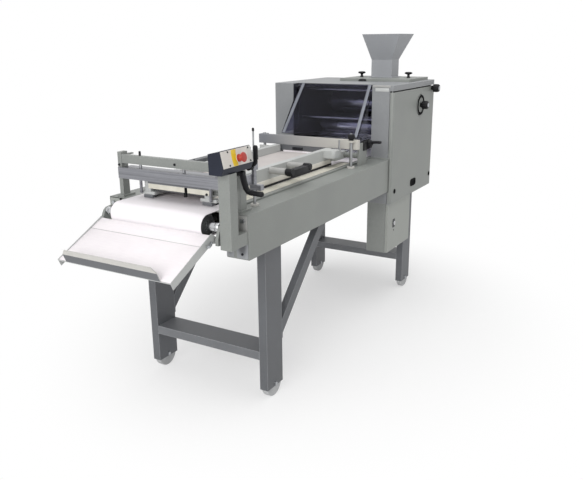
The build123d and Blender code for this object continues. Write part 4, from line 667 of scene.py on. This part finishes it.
FRONT_COLUMN, REAR_COLUMN = Vector((145, -290, 0)), Vector((1063, -277, 0))
COLUMN_TIP = [(3.6, 1171), (4.6, 1171.4), (4.6, 1180), (4, 1182.6), (2, 1183.8), (0, 1184)]
PIN_X, PIN_Y, SCREW_Y = 31, 195, -34
PIN_TIP = [(3.9, 1056.1), (4.9, 1056.1), (4.9, 1070), (4.2, 1073.8), (2.2, 1075.2), (0, 1075.4)]
SCREW_BOOT = [(6.1, 906), (7.4, 906.6), (7.4, 978), (6.1, 979)]
form = bmesh.new()
turned(form, COLUMN_TIP, FRONT_COLUMN, Z, sides=28)
for side in (OPERATOR, FAR):
    turned(form, PIN_TIP, (PIN_X, side * PIN_Y, 0), Z, sides=28)
turned(form, SCREW_BOOT, (PIN_X, SCREW_Y, 0), Z, sides=28)
piece("column_tips", form, nylon_black)

# Fluted knob on the rear column, and the rear clamp with its handle and its housing

REAR_KNOB = [(0, 1046.6), (8.6, 1046.6), (8.6, 1018.3), (12.5, 1018.3), (12.5, 1023), (17.6, 1025.6, 1.0),
             (19, 1028.6, 1.8), (19, 1042, 1.8), (17.6, 1047, 1.0), (12, 1049.5), (0, 1050)]
REAR_KNOB_FACE = 1049.9
REAR_CLAMP_PIVOT, REAR_HANDLE_X = (1228, -288, 976), 1252
REAR_CLAMP_HUB = [(0, -15), (3, -15), (3, 0.6), (24, 0.6), (26, 2.5, 1.0), (26, 20, 2.4), (25, 33, 2.4),
                  (21, 39.6, 1.2), (15, 41.6), (13, 40), (0, 39.6)]
REAR_CLAMP_HANDLE = [(-292, 980, 9, 9), (-314, 985.5, 8, 8), (-338, 988, 7.4, 7.4), (-356, 988, 8, 8),
                     (-362.5, 988, 6, 6), (-364, 988, 3, 3)]
knob = form_of(turned, REAR_KNOB, REAR_COLUMN, Z, sides=96, flutes=12)
moulding("rear_knob_moulding", knob, "rear_knob", "rear_knob")
screw = form_of(cap_screw, REAR_COLUMN + Z * REAR_KNOB_FACE, Z, 5, 3)
piece("rear_knob_screw", screw, zinc_plate, "rear_knob")
form = bmesh.new()
turned(form, REAR_CLAMP_HUB, REAR_CLAMP_PIVOT, X, sides=96, flutes=8)
bent(form, in_plane(REAR_HANDLE_X, REAR_CLAMP_HANDLE), X)
moulding("rear_clamp_moulding", form, "rear_clamp", "rear_clamp")
housing = form_of(bar, (1178, 1227.8), (-298, -278), (948, 998), 5)
piece("rear_clamp_housing", housing, nylon_black)

# Pale covers on the foot discs of the columns, steel sleeve on the guide's pin

FOOT_LOW, FOOT_TOP, COVER_TOP = 876.2, 884.1, 884.8
GUIDE_PIN = (1030, -226, 0)
PIN_SLEEVE = [(4.05, 972.3), (4.6, 972.3), (4.6, 1021), (4.05, 1021.6), (4.05, 972.3)]
form = bmesh.new()
for column, rod, foot in ((REAR_COLUMN, 10, 20), (FRONT_COLUMN, 7, 17)):
    cover = [(rod, FOOT_TOP), (rod, COVER_TOP), (foot - 0.8, COVER_TOP), (foot + 0.3, COVER_TOP - 1),
             (foot + 0.3, FOOT_LOW), (foot + GAP, FOOT_LOW), (foot + GAP, FOOT_TOP), (rod, FOOT_TOP)]
    turned(form, cover, column, Z, sides=48)
piece("column_foot_covers", form, edging_pale)
sleeve = form_of(turned, PIN_SLEEVE, GUIDE_PIN, Z, sides=28)
piece("guide_pin_sleeve", sleeve, column_steel, "right_guide")

# Cream strip along the operator's edge of the belt, on a folded sheet that stands on the beam

EDGE_START, EDGE_END = 72, 1150
EDGE_FOLD = [(-229, 884), (-249.6, 884), (-251, 883), (-251, 876.1), (-252.4, 876.1), (-252.4, 883.6),
             (-250.6, 885.1), (-229, 885.1)]
fold = form_of(slab, [(EDGE_START, y, z) for y, z in EDGE_FOLD], X * (EDGE_END - EDGE_START), 0.2)
piece("belt_edge_fold", fold, powder_grey)
strip = form_of(bar, (EDGE_START, EDGE_END), (-232, -178), (885.15, 886.3), 0.3)
piece("belt_edge_strip", strip, nylon_pale)

# Side guides: cream wear strips, black skirts over the belt that paint the shadow gap under the guide, front
# feet and shoes, grey sleeves, the grip

GUIDE_IN, GUIDE_OUT, GUIDE_END = 138.0, 170.0, 1048
STRIP_PROUD, SCREW_SEAT, STRIP_SCREW_Z = 2.6, 2.5, 907.5
for hand, side in (("right", OPERATOR), ("left", FAR)):
    body = hand + "_guide"
    strips, shade_skirts, feet, shoes = (bmesh.new() for i in range(4))
    for x in range(90, 1040, 120):
        cap_screw(strips, (x, side * (GUIDE_OUT + SCREW_SEAT), STRIP_SCREW_Z), Y * side, 3.6, 0.8)
    bar(strips, (24, GUIDE_END), on_side(side, GUIDE_OUT, GUIDE_OUT + STRIP_PROUD), (896, 919))
    # Painted shade: black skirt along the guide's foot, for the dark gap between guide and belt
    bar(shade_skirts, (48, GUIDE_END), on_side(side, GUIDE_OUT - 2, GUIDE_OUT + 4.4), (886.6, 895.6), 0.6)
    bar(feet, (17.5, 46), on_side(side, GUIDE_IN - 20, GUIDE_OUT + 26), (900.5, 914), 1.5)
    bar(shoes, (15, 37), on_side(side, GUIDE_IN - 10, GUIDE_OUT + 4), (887, 900.4), 1.5)
    piece(hand + "_guide_wear_strip", strips, wear_cream, body)
    piece(hand + "_guide_shade_skirt", shade_skirts, nylon_black, body)
    piece(hand + "_guide_foot", feet, blasted_steel, body)
    piece(hand + "_guide_shoe", shoes, powder_legs, body)

GUIDE_RODS_X, GUIDE_ROD_Z, GRIP_Y = (455, 612), 956, -252.5
ROD_SLEEVE = [(14.1, 1), (15.2, 1.6), (15.2, 81.6), (14.1, 82.2)]
GRIP_END = [(0, 0), (14, 0), (16, 1.6, 0.4), (16.4, 4, 0.9), (16.4, 32, 0.9), (15.6, 35, 0.3), (14.2, 36.5),
            (0, 36.5)]
sleeves, grip = bmesh.new(), bmesh.new()
for x in GUIDE_RODS_X:
    turned(sleeves, ROD_SLEEVE, (x, -GUIDE_OUT, GUIDE_ROD_Z), -Y)
    turned(grip, GRIP_END, (x, GRIP_Y, GUIDE_ROD_Z), -Y, sides=72, flutes=18)
piece("right_guide_rod_sleeves", sleeves, acetal_grey, "right_guide")
bar(grip, GUIDE_RODS_X, (GRIP_Y - 35, GRIP_Y), (936, 965), 4)
piece("guide_grip_moulding", grip, nylon_black, "right_guide")

# Far rail: cap screws over the rods, and a small tab behind the far gantry post

RAIL_Y, RAIL_TOP = 270, 967
form = bmesh.new()
for x in (433, 477, 590, 634, 890):
    cap_screw(form, (x, RAIL_Y, RAIL_TOP), Z, 4, 3)
piece("far_rail_screws", form, black_oxide)
tab = form_of(bar, (57.5, 98), (292, 306), (1048, 1054), 1)
piece("far_post_tab", tab, powder_grey)

# Thin cover sheets on the beam ends, on both sides of the arms that hold the roller. On the operator's side
# the upper sheets are paler, painted light where the post shades them, and the lower ones darker, painted
# shade under the post

BEAM_LOW, BEAM_TOP = 700.6, 871.4
# Upper operator-side sheets: painted light; lower ones: painted shade
END_COVERS = (("right_upper", OPERATOR, acetal_grey, 781, BEAM_TOP),
              ("right_lower", OPERATOR, powder_legs, BEAM_LOW, 780.6),
              ("left", FAR, powder_lit_grey, BEAM_LOW, BEAM_TOP))
for hand, side, coat, low, high in END_COVERS:
    form = bmesh.new()
    for near, far in ((250.6, 284.6), (297.4, 350.4)):
        bar(form, (-0.9, -0.1), on_side(side, near, far), (low, high), 0.2)
    piece(hand + "_beam_end_cover", form, coat)

# Screws of the gantry and the beam ends

FRONT_SCREWS = ((22, 5, 1035.5), (20, 303, 1012), (20, 303, 969),
                (0, -324, 718), (0, 324, 718), (0, -276, 852), (0, 276, 852))
form = bmesh.new()
for at in FRONT_SCREWS:
    cap_screw(form, at, -X, 5, 4.5)
piece("frame_screws", form, black_oxide)

# Lifting bar and board: cream plates on the bar's back, a dark strip under the bar that is its painted shadow
# on the plates, a screw, a stop block on the rear hanger, white facing of the entry lip

BAR_BACK, SCRAPER_Z = 6.1, (930, 998)
BOARD_HALF = 134
LIP_FACE = [(1058.3, 917.4), (1077, 936.1), (1077, 940), (1076.2, 940), (1076.2, 936.6), (1058.3, 918.7)]
form = bmesh.new()
for y in ((-49, 138), (-172, -64)):
    bar(form, (BAR_BACK, BAR_BACK + 3.3), y, SCRAPER_Z)
piece("front_scraper_plates", form, nylon_pale, "carriage")
# Painted shadow: dark strip under the bar's lower edge
bar_shade = form_of(bar, (4.4, BAR_BACK - GAP), (-172, 138), (951, 975), 0.4)
piece("lifting_bar_shade_strip", bar_shade, powder_legs, "carriage")
form = bmesh.new()
cap_screw(form, (BAR_BACK, -160, 934), -X, 5, 4)
bar(form, (1071.5, 1077.1), (12, 74), (945, 959), 1)
piece("board_screws", form, black_oxide, "carriage")
facing = form_of(slab, [(x, -BOARD_HALF, z) for x, z in LIP_FACE], Y * 2 * BOARD_HALF)
piece("entry_lip_facing", facing, liner_white, "carriage")

# Cover door: cup pull, blanking plugs and the closing knob

DOOR_FACE_Y = -372
PULL_X, PULL_Z = 1733, 691.5
PULL_CUP = [(371.8, 43, 21.5), (374, 43, 21.5), (375.4, 41.6, 20), (375.4, 38.4, 17), (374.4, 37, 15.6),
            (372.5, 33, 11)]
PLUG = [(13.5, -0.2), (13.5, 1.4), (12, 3.2), (7, 4.3), (0, 4.6)]
# Cup pull and plugs in black rubber: painted shade of holes
form = bmesh.new()
lofted(form, [((PULL_X, -y, PULL_Z), X * wide, Z * high) for y, wide, high in PULL_CUP], sides=40, square=5)
for x, z in ((1440, 691), (2019, 695)):
    turned(form, PLUG, (x, DOOR_FACE_Y, z), -Y)
piece("cover_pull_and_plugs", form, rubber_black, "cover_door")

COVER_KNOB = (1995, -374.5, 1224)
KNOB_STEM = [(0, -35), (6, -35), (6, 0.2)]
KNOB_GRIP = [(13, 0.2), (14, 5), (17, 8), (23, 11, 0.6), (24, 14, 2.2), (24, 36, 2.2), (23, 40, 1.2),
             (21, 41.4), (21, 43), (19.5, 45.4), (14, 46.4), (0, 46.4)]
KNOB_INSERT = [(12.8, 46.3), (12.4, 46.9), (0, 47)]
grip = form_of(turned, KNOB_STEM + KNOB_GRIP, COVER_KNOB, -Y, sides=96, flutes=12)
insert = form_of(turned, KNOB_INSERT, COVER_KNOB, -Y)
moulding("cover_knob_grip", grip, "cover_knob", "cover_knob")
piece("cover_knob_insert", insert, zinc_plate, "cover_knob")

# Gap dial: grey disc with a black rim and plain ticks, black knob with a bright insert

DIAL = Vector((1806, -375, 1139))
DIAL_DISC = [(0, -67), (10, -67), (10, -23), (20, -23), (20, -4), (57, -4), (58, -3), (58, -0.6),
             (57, 0.3), (0, 0.3)]
DIAL_RIM = [(43.5, 0.2), (44.4, 3), (57, 3), (58, 0.2)]
TICK_FIRST, TICK_STEP, TICKS = -135, 15, 19
TICK_LONG, TICK_SHORT, TICK_OUT, TICK_HALF = 36, 39, 42, 0.8
TICK_SEAT, TICK_THICK = 0.25, 0.5
disc = form_of(turned, DIAL_DISC, DIAL, -Y, sides=72)
piece("dial_disc", disc, powder_grey, "gap_dial", ["gap_dial"])
rim = form_of(turned, DIAL_RIM, DIAL, -Y, sides=72)
for i in range(TICKS):
    turn = radians(TICK_FIRST + TICK_STEP * i)
    out, along = Vector((sin(turn), 0, cos(turn))), Vector((cos(turn), 0, -sin(turn)))
    near = TICK_SHORT if i % 3 else TICK_LONG
    corners = ((near, -TICK_HALF), (near, TICK_HALF), (TICK_OUT, TICK_HALF), (TICK_OUT, -TICK_HALF))
    slab(rim, [DIAL - Y * TICK_SEAT + out * r + along * aside for r, aside in corners], -Y * TICK_THICK)
piece("dial_rim", rim, rubber_black, "gap_dial", smooth=50)
grip = form_of(turned, [(0, 0.2)] + KNOB_GRIP, DIAL, -Y, sides=96, flutes=12)
moulding("dial_knob", grip, "gap_dial")
piece("dial_knob_insert", form_of(turned, KNOB_INSERT, DIAL, -Y), zinc_plate, "gap_dial")

# Hopper plate: mushroom knobs on tapered stems, and a low half-round handle

PLATE_KNOB_X, PLATE_TOP = 1880, 1288
MUSHROOM = [(0, 0.2), (10.5, 0.2), (10.5, 2), (8.2, 6), (7.2, 14), (8.4, 19), (18, 21.6), (22, 23.6),
            (23, 26.6), (22, 30), (17, 33), (9, 34), (0, 34)]
for hand, y in (("left", 40), ("right", -264)):
    knob = "hopper_knob_" + hand
    mushroom = form_of(turned, MUSHROOM, (PLATE_KNOB_X, y, PLATE_TOP), Z, sides=48)
    moulding("hopper_mushroom_" + hand, mushroom, knob, knob)

HANDLE, HANDLE_HALF, HANDLE_STEPS = Vector((1712.2, -41, 1272.2)), Y * 26, 14
HANDLE_DEEP, HANDLE_HIGH, ARC_STEPS = -X * 17, Z * 15, 8
quarter = [pi / 2 * k / ARC_STEPS for k in range(ARC_STEPS + 1)]
handle = []
for i in range(HANDLE_STEPS + 1):
    along = -1 + 2 * i / HANDLE_STEPS
    size = max(0.12, (1 - along ** 4) ** 0.5)
    middle = HANDLE + HANDLE_HALF * along
    arc = [middle + (HANDLE_DEEP * cos(t) + HANDLE_HIGH * sin(t)) * size for t in quarter]
    handle.append([middle] + arc)
moulding("plate_handle", form_of(closed_tube, handle), "frame")

# Operator-side pillar: plain plate with two rivets, pale trim along its top edge, filler sheet on the beam

PILLAR_FACE = 1383.8
RIVET = [(0, 1.2), (1.4, 1), (2, -0.2)]
TRIM_Y, TRIM_WIDE = -352, 102
TRIM = [(1383.7, 1261.5), (1383.7, 1270.5), (1386, 1272.6), (1397, 1272.6), (1397, 1272.1), (1385.1, 1261.5)]
form = bmesh.new()
for y in (-338, -270):
    turned(form, RIVET, (PILLAR_FACE, y, 1249), -X, sides=20)
bar(form, (PILLAR_FACE, PILLAR_FACE + 1.5), (-343, -265), (1240, 1258), 0.5)
piece("pillar_plate", form, blasted_steel)
trim = form_of(slab, [(x, TRIM_Y, z) for x, z in TRIM], Y * TRIM_WIDE, 0.3)
piece("pillar_trim", trim, acetal_grey)
filler = form_of(bar, (1384.2, 1386), (-354.4, -247.6), (876.1, 884.6), 0.3)
piece("pillar_filler", filler, powder_grey)

# Cabinet door: lock plate with a hole for the lock, and a key cover

LOCK_Z, LOCK_PLATE_Y = 494, (-356.9, -358.1)
PLATE_X, PLATE_HALF, PLATE_SQUARE = 1486, (17, 25), 6
HOLE_X, HOLE_R, LOCK_SIDES = 1490, 12.7, 40
KEY_COVER = [(0, 1.4), (4, 1.2), (5, 0.4), (5, -0.2)]
form = bmesh.new()
plate = [oval((PLATE_X, y, LOCK_Z), X * PLATE_HALF[0], Z * PLATE_HALF[1], LOCK_SIDES, PLATE_SQUARE)
         for y in LOCK_PLATE_Y]
hole = [oval((HOLE_X, y, LOCK_Z), X * HOLE_R, Z * HOLE_R, LOCK_SIDES) for y in reversed(LOCK_PLATE_Y)]
tube(form, plate + hole, looped=True)
turned(form, KEY_COVER, (1488, -357, 452), -Y, sides=28)
piece("cabinet_lock_plate", form, black_oxide, "cabinet_door")

# Drive chain: side plates and rollers round the tight loop of the three sprockets

CHAIN_Y, CHAIN_PITCH, CHAIN_OUT = -328.0, 9.525, 3.7
SPROCKETS = ((1605, 940, 30), (1930, 839.2, 38), (1975, 1140, 38))
CHAIN_ROLLER = [(0, -3.9), (1.5, -3.9), (1.5, -2), (2.5, -2), (2.5, 2), (1.5, 2), (1.5, 3.9), (0, 3.9)]
LINK_END = [(-3, 0), (-2.1, 2.3), (0, 3.1), (2.2, 2.4), (4.76, 1.7)]
LINK_INNER, LINK_OUTER, LINK_THICK = 2.1, 3.1, 0.8
ROUND_STEPS = 120


def half_loop(points):
    """One side of the tight loop around points sorted along it."""
    kept = []
    for x, z in points:
        while len(kept) > 1 and ((kept[-1][0] - kept[-2][0]) * (z - kept[-2][1])
                                 <= (kept[-1][1] - kept[-2][1]) * (x - kept[-2][0])):
            kept.pop()
        kept.append((x, z))
    return kept[:-1]


def link_plate(at, after):
    """Outline of a side plate, waisted between its two joints."""
    run = (after - at).normalized()
    out = run.cross(Y)
    return ([at + run * f + out * o for f, o in LINK_END]
            + [after - run * f + out * o for f, o in LINK_END[-2::-1]]
            + [after - run * f - out * o for f, o in LINK_END[1:]]
            + [at + run * f - out * o for f, o in LINK_END[-2:0:-1]])


turns = [2 * pi * i / ROUND_STEPS for i in range(ROUND_STEPS)]
cloud = sorted((x + (r + CHAIN_OUT) * cos(t), z + (r + CHAIN_OUT) * sin(t))
               for x, z, r in SPROCKETS for t in turns)
loop = [Vector((x, CHAIN_Y, z)) for x, z in half_loop(cloud) + half_loop(cloud[::-1])]
spans = [(b - a).length for a, b in zip(loop, loop[1:] + loop[:1])]
link_count = 2 * round(sum(spans) / CHAIN_PITCH / 2)
joints, walked, corner = [], 0.0, 0
for i in range(link_count):
    goal = sum(spans) * i / link_count
    while walked + spans[corner] < goal:
        walked += spans[corner]
        corner += 1
    joints.append(loop[corner].lerp(loop[(corner + 1) % len(loop)], (goal - walked) / spans[corner]))
form = bmesh.new()
for i, (at, after) in enumerate(zip(joints, joints[1:] + joints[:1])):
    turned(form, CHAIN_ROLLER, at, Y, sides=10)
    offset = LINK_INNER if i % 2 else LINK_OUTER
    for side in (-1, 1):
        slab(form, [p + Y * side * offset for p in link_plate(at, after)], Y * side * LINK_THICK)
piece("chain_links", form, brushed_steel, replaced=["drive_chain"])

# Gear motor: cooling fins, fan cowl and flange screws

MOTOR_Y, MOTOR_Z, FINS_X, COWL_X = -296, 940, 1432, 1406.5
FIN_R, FIN_HIGH, FIN_ROOT, FIN_TIP, FIN_LONG = 43, 6, 1.4, 0.9, 118
FAN_COWL = [(0, 0), (30, 0), (44, 2), (45.6, 4), (45.6, 22), (44.2, 22.5)]
form = bmesh.new()
turned(form, FAN_COWL, (COWL_X, MOTOR_Y, MOTOR_Z), X, sides=48)
for z in (900, 980):
    for x in (1568, 1642):
        cap_screw(form, (x, -318, z), -Y, 4.5, 2)
for turn in range(-70, 111, 15):
    out = Vector((0, -cos(radians(turn)), -sin(radians(turn))))
    across = X.cross(out)
    root = Vector((FINS_X, MOTOR_Y, MOTOR_Z)) + out * FIN_R
    tip = root + out * FIN_HIGH
    fin = [root - across * FIN_ROOT, root + across * FIN_ROOT, tip + across * FIN_TIP, tip - across * FIN_TIP]
    slab(form, fin, X * FIN_LONG, 0.4)
piece("motor_fins", form, motor_enamel)

# Cabinet fittings: contactor fronts with their terminal screws, terminal row

FITTING_BACK = -236
CONTACTORS = ((1445, 60, 62, 500, 85), (1515, 60, 62, 500, 85), (1600, 90, 70, 490, 100))
TERMINAL_X, TERMINAL_PITCH, TERMINALS = 1441, 15.6, 16
form, screws = bmesh.new(), bmesh.new()
for x, width, depth, z, height in CONTACTORS:
    face, middle = FITTING_BACK - depth, x + width / 2
    bar(form, (x + 5, x + width - 5), (face - 5, face + 1), (z + 22, z + height - 22), 1.5)
    bar(form, (middle - 8, middle + 8), (face - 8, face - 4), (z + 32, z + height - 34), 1)
    for i in range(4):
        for row in (z + 11, z + height - 11):
            cap_screw(screws, (x + width * (i + 0.5) / 4, face, row), -Y, 4, 1)
for i in range(TERMINALS):
    x = TERMINAL_X + i * TERMINAL_PITCH
    cap_screw(screws, (x + 7, -271, 415), -Y, 4, 1)
    bar(form, (x, x + 1.6), (-275, -270), (396, 434), 0.4)
piece("contactor_fronts", form, gear_polyamide)
piece("terminal_screws", screws, zinc_plate)


# Floor, light and camera, in metres

def sees_background(material):
    """One for rays that show the plain white background: from the camera, off metal and through glass."""
    ray = node(material, "LightPath").outputs
    seen = node(material, "Math", (ray["Is Camera Ray"], ray["Is Glossy Ray"]), operation="MAXIMUM")
    seen = node(material, "Math", (seen.outputs[0], ray["Is Transmission Ray"]), operation="MAXIMUM")
    return seen.outputs[0]


# The paper is plain white away from the machine, and takes its shadow under and around it
WHITE = (1, 1, 1, 1)
PAPER_LOW, PAPER_HIGH, PAPER_Z = -9, 11, -0.0005
SHADOW_SHIFT, SHADOW_LONG, SHADOW_SPAN, SHADOW_WHITE = 0.30, 1.15, (0.55, 1.5), 0.42
floor = new_material("studio_floor")
spot = node(floor, "Mapping", {"Vector": node(floor, "TexCoord").outputs["Object"],
                               "Location": (-SHADOW_SHIFT, 0, 0), "Scale": (1 / SHADOW_LONG, 1, 1)})
reach = node(floor, "VectorMath", (spot.outputs[0],), operation="LENGTH").outputs["Value"]
paper = node(floor, "MapRange", (reach, *SHADOW_SPAN, SHADOW_WHITE, 1.0), interpolation_type="SMOOTHSTEP")
lit = node(floor, "BsdfDiffuse", {"Color": linear("#F4F4F4")})
plain = node(floor, "Emission", {"Color": WHITE, "Strength": 1.0})
share = node(floor, "Math", (sees_background(floor), paper.outputs[0]), operation="MULTIPLY")
mixed = node(floor, "MixShader", (share.outputs[0], lit.outputs[0], plain.outputs[0]))
node(floor, "OutputMaterial", {"Surface": mixed.outputs[0]})
corners = ((PAPER_LOW, PAPER_LOW), (PAPER_HIGH, PAPER_LOW), (PAPER_HIGH, PAPER_HIGH), (PAPER_LOW, PAPER_HIGH))
mesh = bpy.data.meshes.new("studio_floor")
mesh.from_pydata([(x, y, PAPER_Z) for x, y in corners], [], [(0, 1, 2, 3)])
mesh.materials.append(floor)
placed("studio_floor", mesh)

FILL_STRENGTH = 0.56
world = bpy.data.worlds.new("studio")
bpy.context.scene.world = world
world.use_nodes = True
world.node_tree.nodes.clear()
fill = node(world, "Background", {"Color": WHITE, "Strength": FILL_STRENGTH})
white = node(world, "Background", {"Color": WHITE, "Strength": 1.0})
mixed = node(world, "MixShader", (sees_background(world), fill.outputs[0], white.outputs[0]))
node(world, "OutputWorld", {"Surface": mixed.outputs[0]})


def lamp(name, place, aim, size, watts):
    """Large soft square lamp."""
    light = bpy.data.lights.new(name, "AREA")
    light.size = size
    light.energy = watts
    made = placed(name, light)
    made.location = place
    made.rotation_euler = (Vector(aim) - Vector(place)).to_track_quat("-Z", "Y").to_euler()


lamp("front_softbox", (-7.2, -1.1, 3.2), (0, 0, 0.8), 4.5, 276)
lamp("top_softbox", (0.3, -0.6, 3.6), (0, 0, 0.6), 3.0, 46)

# Camera as the photograph has it: its width and focal length are in the photograph's pixels
WIDTH_PX, FOCAL_PX, SENSOR = 583, 664.37, 36.0
CAMERA_PLACE = (-2.8334, -1.6883, 1.4981)
yaw, pitch, roll = radians(30.29), radians(16.58), radians(0.52)
forward = Vector((cos(yaw) * cos(pitch), sin(yaw) * cos(pitch), -sin(pitch)))
right = Vector((sin(yaw), -cos(yaw), 0))
up = right.cross(forward)
right, up = right * cos(roll) - up * sin(roll), up * cos(roll) + right * sin(roll)
camera = placed("photo_camera", bpy.data.cameras.new("photo_camera"))
camera.data.sensor_width = SENSOR
camera.data.lens = FOCAL_PX * SENSOR / WIDTH_PX
facing = Matrix((right, up, -forward)).transposed().to_4x4()
camera.matrix_world = Matrix.Translation(CAMERA_PLACE) @ facing
bpy.context.scene.camera = camera
bpy.context.scene.view_settings.view_transform = "Standard"
